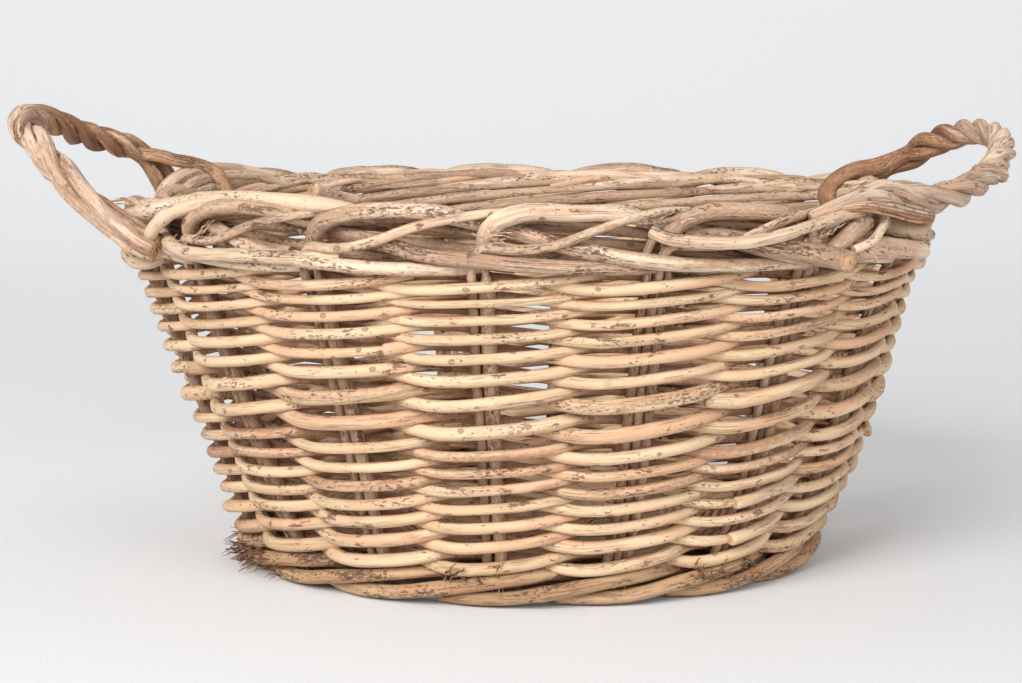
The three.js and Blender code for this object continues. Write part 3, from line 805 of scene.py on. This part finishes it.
# A leading rod's butt lies in the base and bends up out of it: [height above the base, out].
BUTT_WAY = [(0, -STAKE_BUTT), (0, -8), (2, -2)]
# Heights at which the rods of a bundle start: the leading rod above the base, the others above the floor.
LEADING_START, OTHERS_START = 10, 4
# A standing rod has so many points up to just under the wall's top, stray a little, and is darker and
# browner: partly its own colour, partly painted shade where it stands hidden in the weave.
STANDING_POINTS, UNDER_TOP = 9, 6
BUNDLE_STRAY = 0.4
STAKE_BROWN_AND_SHADE = (1.1, 1.45)
# How thick the rods beside the leading one are, and one place of a rod beside the next.
BESIDE_GIRTHS, STAKE_SWELLS = (0.9, 1.08), (0.94, 1.08)
# The third rod of a bundle that has only two starts at this point of its course, in the border.
STARTS_IN_BORDER = 2


def stake(k):
    pick = random.Random(200 + k)
    rods = []
    count = STAKE_RODS[k]
    for j, (course, thick) in enumerate(COURSES):
        standing = j < count
        along = STAKE_PITCH[count] * ((count - 1) / 2 - j) if standing else 0
        # Bark over 1 on a stake: its own browner colour, and painted shade in the weave.
        brown_and_shade = pick.uniform(*STAKE_BROWN_AND_SHADE)
        fullness = LEADING_ROD[count] if j == 0 else pick.uniform(*BESIDE_GIRTHS)
        thickness = STAKE_DIAMETER * fullness
        start = OTHERS_START
        controls = []
        if j == 0:
            start = MIDDLE.z + LEADING_START
            for rise, out in BUTT_WAY:
                spot = level(k, MIDDLE.z + rise, out=out, along=along)
                controls.append((*spot, thickness, brown_and_shade))
        if standing:
            for height in np.linspace(start, WALL_TOP - UNDER_TOP, STANDING_POINTS):
                out = pick.uniform(-BUNDLE_STRAY, BUNDLE_STRAY)
                aside = along + pick.uniform(-BUNDLE_STRAY, BUNDLE_STRAY)
                spot = by_wall(k, height, out=out, along=aside)
                controls.append((*spot, thickness * pick.uniform(*STAKE_SWELLS), brown_and_shade))
        bend = laid(course, k, thick, pick, along, pick.choice(BARK_ON_COURSES))
        controls += bend if standing else bend[STARTS_IN_BORDER:]
        rods.append(rod(through(controls), tone=pick.uniform(-1, 1), seed=200 + 3 * k + j))
    name = f"stake_{k + 1:02d}"
    piece_of(f"rods_{name}", rods, [name], STAKE_BARK)


for k in range(PLACES):
    stake(k)

# Inside the border a rail of rods lies along it, each falling past three stakes.
RAIL_COURSE = [
    (-0.1, -7, 8, 0.9), (0.6, -9, 5, 1), (1.4, -11, -1, 1), (2.2, -12, -8, 0.95), (2.9, -10, -14, 0.9),
    (3.2, -5, -17, 0.8),
]
RAIL_DIAMETER, RAIL_BARK = 6.8, 0.9
rails = []
for k in range(PLACES):
    pick = random.Random(260 + k)
    way = laid(RAIL_COURSE, k, RAIL_DIAMETER, pick, 0, pick.choice([0.1, 0.3, 0.6]))
    way = [(*point[:4], RAIL_BARK) for point in way]
    rails.append(rod(through(way), tone=pick.uniform(-1, 1), seed=260 + k))
piece_of("border_rail", rails, [], STAKE_BARK)


# The base: sticks pierced and bound at the middle, with oval rounds of weaving about them.
PLATE_INSET = 17.0
BASE_PITCH = 5.0
BASE_DIAMETER = 4.6
# The innermost round stands this far from the long sticks' middle line.
BASE_CORE = 4.0
# The plate is this much longer on the right. A round waves over and under its stakes, and laps, and
# its partner, which waves the other way, lies a little further in.
BASE_RIGHT_LONGER = 5
BASE_WAVE, BASE_HOLD = 4.4, 1.5
PARTNER_INSET = 0.4
BASE_STEPS, BASE_LAP_STEPS = 192, 5


def base_round(inset, phase, seed):
    points = []
    for i in range(BASE_STEPS + BASE_LAP_STEPS):
        place = i * PLACES / BASE_STEPS
        angle = bearing(place)
        c, s = math.cos(angle), math.sin(angle)
        longer = BASE_RIGHT_LONGER if c > 0 else 0
        length = BASE_HALF_LENGTH + MIDDLE.z * FLARE - PLATE_INSET + longer - inset
        width = BASE_HALF_WIDTH + MIDDLE.z * FLARE - PLATE_INSET - inset
        height = MIDDLE.z + BASE_WAVE * math.tanh(BASE_HOLD * math.cos(math.pi * (place - phase)))
        points.append((MIDDLE.x + length * c, MIDDLE.y + width * s, height, BASE_DIAMETER))
    return rod(points, tone=random.Random(seed).uniform(-1, 1), seed=seed)


low_inset = BASE_HALF_WIDTH + MIDDLE.z * FLARE - PLATE_INSET
base_rods = []
for i in range(int((low_inset - BASE_CORE) / BASE_PITCH) + 1):
    base_rods.append(base_round(i * BASE_PITCH, 0, 500 + 2 * i))
    base_rods.append(base_round(i * BASE_PITCH + PARTNER_INSET, 1, 501 + 2 * i))
piece_of("base_rounds", base_rods, ["base_weave"], BASE_WILLOW, roundness=1)


LONG_STICK = [5.2, 5.6, 5.4, 5.2]
CROSS_STICK = [7.5, 7.5, 9, 11, 9, 7.5, 7.5]


def base_stick(name, axis, diameters):
    """A stick as long as its CAD node, with its diameters from end to end."""
    low, high = frame_box(name)
    centre, half = (low + high) / 2 - MIDDLE, (high - low) / 2
    offset, half_length = (centre.y, half.x) if axis == "x" else (centre.x, half.y)
    controls = []
    for i, diameter in enumerate(diameters):
        run = half_length * (2 * i / (len(diameters) - 1) - 1)
        x, y = (run, offset) if axis == "x" else (offset, run)
        controls.append((MIDDLE.x + x, MIDDLE.y + y, MIDDLE.z, diameter))
    one = rod(through(controls), tone=0.2, bark=0.3, seed=600 + len(name) + round(offset))
    piece_of(f"rod_{name}", [one], [name], BASE_STICK)


for number in (1, 2):
    base_stick(f"base_long_stick_{number}", "x", LONG_STICK)
for number in (1, 2, 3):
    base_stick(f"base_cross_stick_{number}", "y", CROSS_STICK)

# Rods of the border that lie apart from the laid courses, with their ends cut off: bark, tone, and
# [bearing, distance out, height, diameter] from the border's middle line.
LOOSE_RODS = {
    "thick_butt": (0.75, 0, [
        (-71, 2, 2, 9), (-64.3, 8, -0.9, 11), (-59.9, 13, -4.4, 12), (-55.8, 15, -7.7, 12.5),
        (-53, 16, -9.8, 12.5), (-51, 18.5, -11.6, 12.5), (-50.2, 22.5, -13, 12.5),
        (-50.2, 28, -13.8, 12.5),
    ]),
    "right_thick": (0.3, 0.8, [
        (-52, 4, -5, 9), (-46.5, 11, -7.8, 10), (-43.8, 16, -8.1, 11.5), (-38.2, 18, -9.4, 11.5),
        (-29.3, 18, -13.7, 11),
    ]),
    "right_oval": (0.6, 0.2, [
        (-53, 8, -13, 8), (-50.6, 13, -8.5, 9), (-49.1, 17, -3, 10), (-46.8, 17, 2.2, 10.5),
        (-43.3, 15, 6.5, 9),
    ]),
    "right_upright": (0.0, -0.6, [
        (-37, 9, 12, 5.5), (-39.3, 15, 8.5, 5.5), (-42.2, 21, 2.5, 5.5), (-45.1, 24, -3.6, 5.5),
        (-48.1, 22, -7.9, 5.5),
    ]),
    "right_grey_butt": (0.8, -0.8, [
        (-40, 0, 4, 9), (-36.3, 5, 2.8, 10), (-32.9, 11, -0.6, 11), (-27.8, 16, -4.1, 11),
    ]),
    "ringed": (0.1, -0.9, [
        (-75.6, 8, 4.6, 7), (-73.5, 15, 0.6, 7), (-70, 19, -1.1, 7), (-64.8, 20, -1.7, 7),
        (-59.4, 20, 1.9, 7), (-54.6, 18, 6.6, 7), (-49.1, 16, 11, 6.5), (-42.7, 13, 10.8, 6),
    ]),
    "left_hook": (0.05, -1, [
        (210.5, 2, -16, 8), (213.2, 15, -12, 8.5), (214.6, 20, -3.9, 8.5), (216.3, 20, 2.9, 8.5),
        (218.2, 17, 9.6, 8.5), (221.4, 11, 14.5, 8.5), (225.3, 6, 17.2, 8), (231, 2, 15, 7),
    ]),
    "left_top": (0.1, -1, [
        (203, 14, 4.0, 12), (205.5, 14.5, 5.2, 12.5), (212.4, 14, 9.4, 12), (218.3, 8, 14.5, 11),
        (225.3, 4, 18.8, 10), (233.3, 3, 19.5, 9.5), (242.5, 1, 18.2, 9), (250, -3, 12, 8),
    ]),
    "left_curl": (0.0, -1, [
        (211, 4, -18, 7), (210.2, 13, -21.6, 7.5), (208.1, 19, -20.6, 7.5), (206.4, 20, -16.2, 7.5),
        (207.4, 17, -11.2, 7),
    ]),
    "left_low": (0.15, -0.7, [
        (208, -2, 2, 7), (211.9, 6, -2.8, 7), (217, 13, -7.6, 8), (221, 17, -10.5, 8),
        (226.1, 18, -11.4, 8), (232.3, 17, -10.5, 8), (238.3, 14, -10.6, 8), (246, 8, -9, 7),
    ]),
    "far_butt": (0.4, 0.6, [
        (112, -6, -10, 11), (117.7, -8, -7.5, 11), (123.9, -10, -3.0, 12), (128.3, -12, 1.3, 13),
        (131.6, -15, 5.2, 13),
    ]),
    "far_arch_1": (0.35, -0.4, [
        (164.7, 12, 3.6, 9), (163.4, 10, 12.2, 9), (162.1, 6, 18.1, 9), (158.7, 2, 23.1, 9),
        (153.5, -2, 24.5, 9), (146.1, -4, 22.1, 8), (138, -4, 16, 7),
    ]),
    "far_arch_2": (0.45, -0.2, [
        (163, 8, -6, 9), (162.6, 6, 1.8, 9), (161, 4, 9.1, 9), (158.9, 1, 14.9, 9),
        (155.3, -2, 18.5, 9), (150, -5, 19.2, 9), (143.3, -8, 16.2, 8), (136, -9, 9, 7),
    ]),
}
loose = []
for i, (bark, tone, way) in enumerate(LOOSE_RODS.values()):
    controls = [(*point, bark) for point in from_border(way)]
    loose.append(rod(through(controls, CLOSE_SPACING), tone=tone, knots=0.1, seed=700 + i))
piece_of("border_loose_rods", loose, [], STAKE_BARK, roundness=4)

# The handles: three rods twisted into a rope. A strand's middle is this far from the rope's, as a
# share of its diameter.
ROPE_WIDTH = 0.54
ROPE_SEEDS = {"left": 300, "right": 310}
STRAND_TONES = [-0.4, 0.9, 0.2]
# Every so many points, a strand's line is drawn through again, with its way on.
STRAND_STRIDE = 4
# The rope's middle is given by [bearing, out, up, turns of the twist so far, strand diameter, bark],
# and each strand has its own way on from there into the border.
LEFT_ROPE = [
    (215.2, 17.5, -11.5, 0.00, 9.4, 0.5), (213.5, 24, -7, 0.01, 9.6, 0.45),
    (211.6, 29, -1.5, 0.03, 9.6, 0.42), (209.2, 34, 5, 0.06, 9.6, 0.42),
    (206.0, 39, 13, 0.12, 9.4, 0.44), (203.2, 44.5, 20, 0.20, 9.4, 0.46),
    (200.0, 49, 28.5, 0.3, 9.4, 0.42), (197.3, 54, 36.5, 0.42, 9.4, 0.36),
    (194, 60, 46, 0.58, 9.2, 0.34), (190, 68, 55, 0.8, 9.2, 0.34), (186, 71, 61, 1.05, 9.0, 0.35),
    (182, 67, 63, 1.35, 8.8, 0.55), (178, 59, 59, 1.7, 8.8, 0.62), (174, 50.5, 52, 2.1, 8.8, 0.64),
    (170, 42, 46.5, 2.45, 9.0, 0.64), (166.5, 34, 42, 2.75, 9.0, 0.6),
    (164.3, 29.5, 38, 2.95, 9.0, 0.6),
]
LEFT_ENDS = [
    [
        (163.2, 13, 34.5), (161.6, 7, 31.7), (158.1, 1, 29.2), (154.5, -5, 24), (153.3, -10, 17),
        (152.7, -14, 8.6), (152.5, -15, 1),
    ],
    [(162.3, 25, 36), (160.2, 21, 29), (158.9, 16.5, 20), (158.5, 13.5, 11), (158.7, 12, 1)],
    [(163.1, 26, 31.6), (162.3, 22, 23.4), (161.6, 18.5, 15), (161.6, 16, 7), (162, 15, -3)],
]
RIGHT_ROPE = [
    (-52.5, 8, 7, -0.05, 7.0, 0.0), (-48.5, 12.5, 14.5, 0.0, 7.4, 0.0), (-44, 12.5, 19, 0.1, 8.2, 0.0),
    (-39.2, 13, 21, 0.28, 8.8, 0.05), (-33.3, 14.5, 17.5, 0.5, 9.0, 0.05),
    (-27, 17, 16, 0.7, 9.0, 0.05), (-22, 22, 16.5, 0.88, 9.2, 0.05), (-17, 27, 18.5, 1.08, 9.2, 0.05),
    (-12, 34, 22.5, 1.32, 9.0, 0.05), (-8, 43, 28.5, 1.65, 8.8, 0.1), (-4, 51, 36, 2.05, 8.8, 0.1),
    (-1, 56, 42.5, 2.4, 8.8, 0.15), (2, 57.5, 48, 2.8, 8.8, 0.2), (5, 53, 51.5, 3.2, 8.8, 0.28),
    (8, 47, 51, 3.55, 9.0, 0.42), (11, 40.5, 48, 3.87, 9.4, 0.56), (14, 35, 44, 4.13, 9.8, 0.68),
    (16.5, 30.5, 37.5, 4.33, 9.8, 0.8), (19, 25, 30, 4.5, 9.6, 0.95),
]
RIGHT_ENDS = [
    [
        (21.2, 9, 26), (23.3, 0, 23.8), (25, -7, 19.2), (26.5, -12, 12.9), (27, -14, 5.9),
        (26.4, -12, -1.7), (26.4, -8, -9),
    ],
    [(21.7, 20.5, 23), (23.6, 18.5, 15.5), (24.6, 17, 6), (25.2, 16, -5)],
    [(22.2, 17, 22), (25.5, 14, 17.5), (28.7, 11, 10), (32, 5, 4)],
]
# How thick each strand's way on into the border is, as a share of the rope's last strands.
TAIL_SHARES = {"left": [1.1, 1.0, 1.0], "right": [1.22, 1.0, 0.95]}


def rope(side, way, ends):
    line = np.array(through(from_border(way), CLOSE_SPACING))
    tangents = np.gradient(line[:, :3], run_of(line), axis=0)
    normal = Vector((0, 0, 1)).cross(Vector(tangents[0])).normalized()
    frames = []
    for tangent in tangents:
        tangent = Vector(tangent).normalized()
        normal = (normal - tangent * normal.dot(tangent)).normalized()
        frames.append((normal.copy(), tangent.cross(normal)))
    pick = random.Random(ROPE_SEEDS[side])
    for strand, tail in enumerate(ends):
        points = []
        for (x, y, z, turns, diameter, bark), (across, over) in zip(line, frames):
            turn = 2 * math.pi * (turns + strand / len(ends))
            offset = (across * math.cos(turn) + over * math.sin(turn)) * ROPE_WIDTH * diameter
            size = diameter * pick.uniform(0.985, 1.015)
            points.append((x + offset.x, y + offset.y, z + offset.z, size, bark))
        diameter, bark = line[-1][4:]
        tail = [(*point, diameter * TAIL_SHARES[side][strand], bark) for point in from_border(tail)]
        kept = [points[0], *points[STRAND_STRIDE:-STRAND_STRIDE:STRAND_STRIDE], points[-STRAND_STRIDE]]
        points = through([*kept, *tail], CLOSE_SPACING)
        seed = 320 + strand + len(way)
        one = rod(points, tone=STRAND_TONES[strand], knots=0.12, seed=seed, grooves=0.24)
        name = f"handle_{side}_strand_{strand + 1}"
        piece_of(f"rod_{name}", [one], [name], HANDLE_BARK, roundness=8)


rope("left", LEFT_ROPE, LEFT_ENDS)
rope("right", RIGHT_ROPE, RIGHT_ENDS)

# The tip of a left strand is tucked back round the bend, and a strand's butt stands out of the right
# rope's near leg: [bearing, out, up, diameter, bark]. Split strips lash the right rope's start.
TUCKED = [
    (182.5, 66, 54, 6, 0.2), (184.5, 61, 58, 8.5, 0.1), (187.5, 62, 62, 9, 0.1), (190, 66, 64, 8.5, 0.2),
    (192.5, 72, 58, 7.5, 0.4), (193.5, 72, 50, 6, 0.4),
]
KNOB = [
    (-12, 33, 30, 7.5, 0.3), (-11, 40, 30.5, 8.5, 0.3), (-9.8, 46, 28.8, 9, 0.3), (-8.3, 52, 26.5, 9, 0.3),
]
LASHING = [
    (-50.5, 12, 14.0), (-47.0, 21, 17.0), (-41.9, 24, 14.5), (-36, 24.5, 10), (-29.5, 23, 6.6),
    (-22.8, 15, 6.4),
]
STRIPS, STRIP_PITCH, STRIP_STRAY, STRIP_WIDTHS = 5, 2.1, 0.7, (1.7, 2.3)
strips = [
    rod(through(from_border(TUCKED), CLOSEST_SPACING), tone=0.4, seed=340),
    rod(through(from_border(KNOB), CLOSEST_SPACING), tone=0.6, seed=341),
]
for i in range(STRIPS):
    pick = random.Random(350 + i)
    way = []
    for j, (degrees, out, up) in enumerate(LASHING):
        spread = math.sin(math.pi * (j + 0.3) / len(LASHING))
        out += pick.uniform(-STRIP_STRAY, STRIP_STRAY)
        up += (STRIPS // 2 - i) * STRIP_PITCH * spread
        way.append((*at_border(degrees, out, up), pick.uniform(*STRIP_WIDTHS), 0.1 + 0.18 * i))
    strips.append(rod(through(way, CLOSE_SPACING), tone=pick.uniform(-1, 1), seed=350 + i))
piece_of("handle_lashings", strips, [], HANDLE_BARK, roundness=2)


# Frayed fibres: thin, crooked and split ends, in tufts. A clump stands at the foot's left end, and
# others where the stakes' butts come through and where the foot's rods end.
FIBRE_THICKNESS = (0.6, 2.0)
FIBRE_STEPS = 4
FIBRE_THINS = 0.75
FIBRE_CROOKED = 0.06
FIBRES_APART, FIBRE_REACHES, FIBRE_BARKS = 0.35, (0.5, 1.2), (0.6, 1)


def tuft(pick, centre, spread, count, length, lean, bark):
    """Fibres about a centre, each starting within the spread and leaning one way more or less."""
    made = []
    for _ in range(count):
        start = Vector(centre) + Vector([pick.uniform(-1, 1) * s for s in spread])
        aside = Vector([pick.uniform(-FIBRES_APART, FIBRES_APART) for _ in range(3)])
        way = (Vector(lean) + aside).normalized()
        thick = pick.uniform(*FIBRE_THICKNESS)
        reach = length * pick.uniform(*FIBRE_REACHES)
        points = []
        for step in range(FIBRE_STEPS + 1):
            share = step / FIBRE_STEPS
            bend = Vector([pick.uniform(-1, 1) for _ in range(3)]) * reach * FIBRE_CROOKED
            point = start + way * reach * share + bend
            height = max(point.z, thick / 2)
            size = thick * (1 - FIBRE_THINS * share)
            points.append((point.x, point.y, height, size, bark * pick.uniform(*FIBRE_BARKS)))
        made.append(rod(through(points, 3), tone=pick.uniform(-1, 1), knots=0, seed=pick.randrange(9999)))
    return made


CLUMP_DEGREES = [188, 193, 198, 203, 208, 213]
BUTT_PLACES = [1, 2, 0, -1, -2, -3]
# Where the foot's rods end: [bearing, height, how many fibres].
ROD_ENDS = [(-104, 21, 12), (-98, 22, 10), (-58, 17, 12), (-53, 14, 14), (-47, 18, 12)]
pick = random.Random(900)
fibres = []
for degrees in CLUMP_DEGREES:
    spot = level(place_at(degrees), 10, out=7)
    fibres += tuft(pick, spot, (6, 6, 7), count=26, length=12, lean=(-0.7, -0.55, -0.05), bark=1.5)
for k in BUTT_PLACES:
    spot = level(k, 21, out=1)
    fibres += tuft(pick, spot, (7, 4, 3), count=14, length=9, lean=(0.1, -0.5, -0.8), bark=1.3)
for degrees, height, count in ROD_ENDS:
    spot = level(place_at(degrees), height, out=7)
    fibres += tuft(pick, spot, (6, 3, 4), count, length=13, lean=(0.4, -0.8, 0.3), bark=0.9)
piece_of("foot_fibres", fibres, [], FOOT_WILLOW, roundness=1)

# A strip split off the rim beside the left handle, its end frayed: each split strays further.
SPLIT_STRIP = [(211.6, 12, 13.8), (209.7, 16, 14.1), (207.6, 20, 14.4), (204.9, 26, 15.1)]
SPLITS = 8
fibres = []
for i in range(SPLITS):
    pick = random.Random(950 + i)
    way = []
    for j, (degrees, out, up) in enumerate(SPLIT_STRIP):
        aside = pick.uniform(-1, 1) * (0.6 + 0.8 * j)
        above = pick.uniform(-1, 1) * (0.5 + 0.8 * j)
        spot = at_border(degrees + aside * 0.15, out + aside, up + above)
        way.append((*spot, 2.2 - 0.5 * j, 0.1 + 0.1 * i))
    way = way[:pick.choice([3, 4, 4])]
    fibres.append(rod(through(way, CLOSEST_SPACING), tone=1, knots=0, seed=950 + i))

# Tufts on the border: [bearing, out, up], how many fibres, and the way they lean.
BORDER_TUFTS = [
    (224, 12, -3, 9, (0.6, -0.7, 0.3)), (219, 12, -6, 7, (0.6, -0.7, 0.2)),
    (-95.5, 15, 4, 8, (0.8, -0.5, -0.2)), (-52, 14, 2, 9, (0.5, -0.7, 0.4)),
    (-46, 16, -6, 8, (0.3, -0.8, -0.2)), (-73, 12, 10, 5, (0.6, -0.6, 0.3)),
]
pick = random.Random(960)
for degrees, out, up, count, lean in BORDER_TUFTS:
    fibres += tuft(pick, at_border(degrees, out, up), (7, 3, 3), count, length=14, lean=lean, bark=0.7)
piece_of("border_fibres", fibres, [], STAKE_BARK, roundness=1)

# The floor and a backdrop that rises behind it in one sweep.
SWEEP_START, SWEEP_RADIUS, SWEEP_STEPS = 1.8, 1.4, 16
STAGE_HALF_WIDTH, STAGE_FRONT, STAGE_HEIGHT = 12.0, 12.0, 5.0
# How the paper's own light grows away from the camera, in metres behind the basket's middle.
NEAR_FROM_TO, NEAR_GLOW = (-0.15, 0.3), 0.15
BACKDROP_FROM_TO, BACKDROP_GLOW = (0.5, 2.0), 0.145
# In front of the lamps and far to the sides, where no lamp reaches, the paper has its own light too.
FRONT_FROM_TO, SIDE_FROM_TO, OUTER_GLOW = (1.8, 3.4), (2.2, 4.4), 0.3


def floor():
    bpy.ops.object.select_all(action="DESELECT")
    bpy.ops.mesh.primitive_plane_add(size=2, location=(0, (SWEEP_START - STAGE_FRONT) / 2, 0))
    sweep = bpy.context.object
    sweep.name = "floor"
    sweep.scale = (STAGE_HALF_WIDTH, (SWEEP_START + STAGE_FRONT) / 2, 1)
    bpy.ops.object.transform_apply(location=True, rotation=False, scale=True)
    # The far edge is spun up a quarter turn, and drawn on upwards from there.
    bpy.ops.object.mode_set(mode="EDIT")
    bpy.ops.mesh.select_all(action="DESELECT")
    bpy.ops.object.mode_set(mode="OBJECT")
    for vertex in sweep.data.vertices:
        vertex.select = vertex.co.y > 0
    bpy.ops.object.mode_set(mode="EDIT")
    above = (0, SWEEP_START, SWEEP_RADIUS)
    bpy.ops.mesh.spin(steps=SWEEP_STEPS, angle=math.pi / 2, center=above, axis=(-1, 0, 0))
    rise = (0, 0, STAGE_HEIGHT - SWEEP_RADIUS)
    bpy.ops.mesh.extrude_region_move(TRANSFORM_OT_translate={"value": rise})
    bpy.ops.object.mode_set(mode="OBJECT")
    bpy.ops.object.shade_smooth()
    f = Finish("pale linen paper")
    spot = f.node("ShaderNodeTexCoord", "Object")
    weave = f.node("ShaderNodeTexNoise", "Fac", Vector=spot, Scale=420.0, Detail=2.0)
    colour = f.mix(weave, tint(219, 220, 222), tint(226, 227, 228))
    bump = f.node("ShaderNodeBump", "Normal", Height=weave, Strength=0.25, Distance=0.001)
    behind = f.node("ShaderNodeSeparateXYZ", "Y", Vector=spot)
    glow = behind.rise(*NEAR_FROM_TO) * NEAR_GLOW + behind.rise(*BACKDROP_FROM_TO) * BACKDROP_GLOW
    in_front = (0 - behind).rise(*FRONT_FROM_TO)
    beside = f.node("ShaderNodeSeparateXYZ", "X", Vector=spot).size().rise(*SIDE_FROM_TO)
    glow = glow + (1 - (1 - in_front) * (1 - beside)) * OUTER_GLOW
    seen = f.node("ShaderNodeLightPath", "Is Camera Ray")
    glow = glow * seen
    glow = f.node("ShaderNodeCombineColor", "Color", Red=glow, Green=glow, Blue=glow)
    bsdf = f.node(
        "ShaderNodeBsdfPrincipled", "BSDF", Base_Color=colour, Roughness=0.9, Normal=bump,
        Specular_IOR_Level=0.1, Emission_Color=glow, Emission_Strength=1.0,
    )
    f.finish(bsdf)
    sweep.data.materials.append(f.material)


floor()


LAMPS_AIM = (0, 0, 0.12)


def lamp(name, place, size, power):
    bpy.ops.object.light_add(type="AREA", location=place)
    light = bpy.context.object
    light.name = name
    light.data.size = size
    light.data.energy = power
    light.rotation_mode = "QUATERNION"
    light.rotation_quaternion = (Vector(LAMPS_AIM) - Vector(place)).to_track_quat("-Z", "Y")


# A soft key from the left, a weaker fill from the right, and an even sky.
lamp("key", (-1.2, -2.1, 1.6), 1.4, 82)
lamp("fill", (1.6, -2.0, 1.2), 1.5, 28)

# The sky's light, and how pale the camera sees it past the floor's edge.
SKY_LIGHT, SKY_SEEN = 0.41, 0.64
world = bpy.data.worlds.new("studio")
bpy.context.scene.world = world
sky = Nodes(world)
seen = sky.node("ShaderNodeLightPath", "Is Camera Ray")
strength = seen * (SKY_SEEN - SKY_LIGHT) + SKY_LIGHT
shine = sky.node("ShaderNodeBackground", "Background", Color=(1, 1, 1, 1), Strength=strength)
sky.finish(shine, "ShaderNodeOutputWorld")

# The camera, at the photograph's place.
FOCAL_PIXELS, PICTURE_WIDTH, SENSOR_WIDTH = 1894, 1022, 36
CAMERA_PLACE = (MIDDLE.x * MM - 0.0112, -1.230, 0.303)
CAMERA_TILT_DEG = 7.64
bpy.ops.object.camera_add(location=CAMERA_PLACE, rotation=(math.radians(90 - CAMERA_TILT_DEG), 0, 0))
camera = bpy.context.object
camera.data.sensor_width = SENSOR_WIDTH
camera.data.lens = SENSOR_WIDTH * FOCAL_PIXELS / PICTURE_WIDTH
bpy.context.scene.camera = camera
bpy.context.scene.view_settings.view_transform = "Standard"
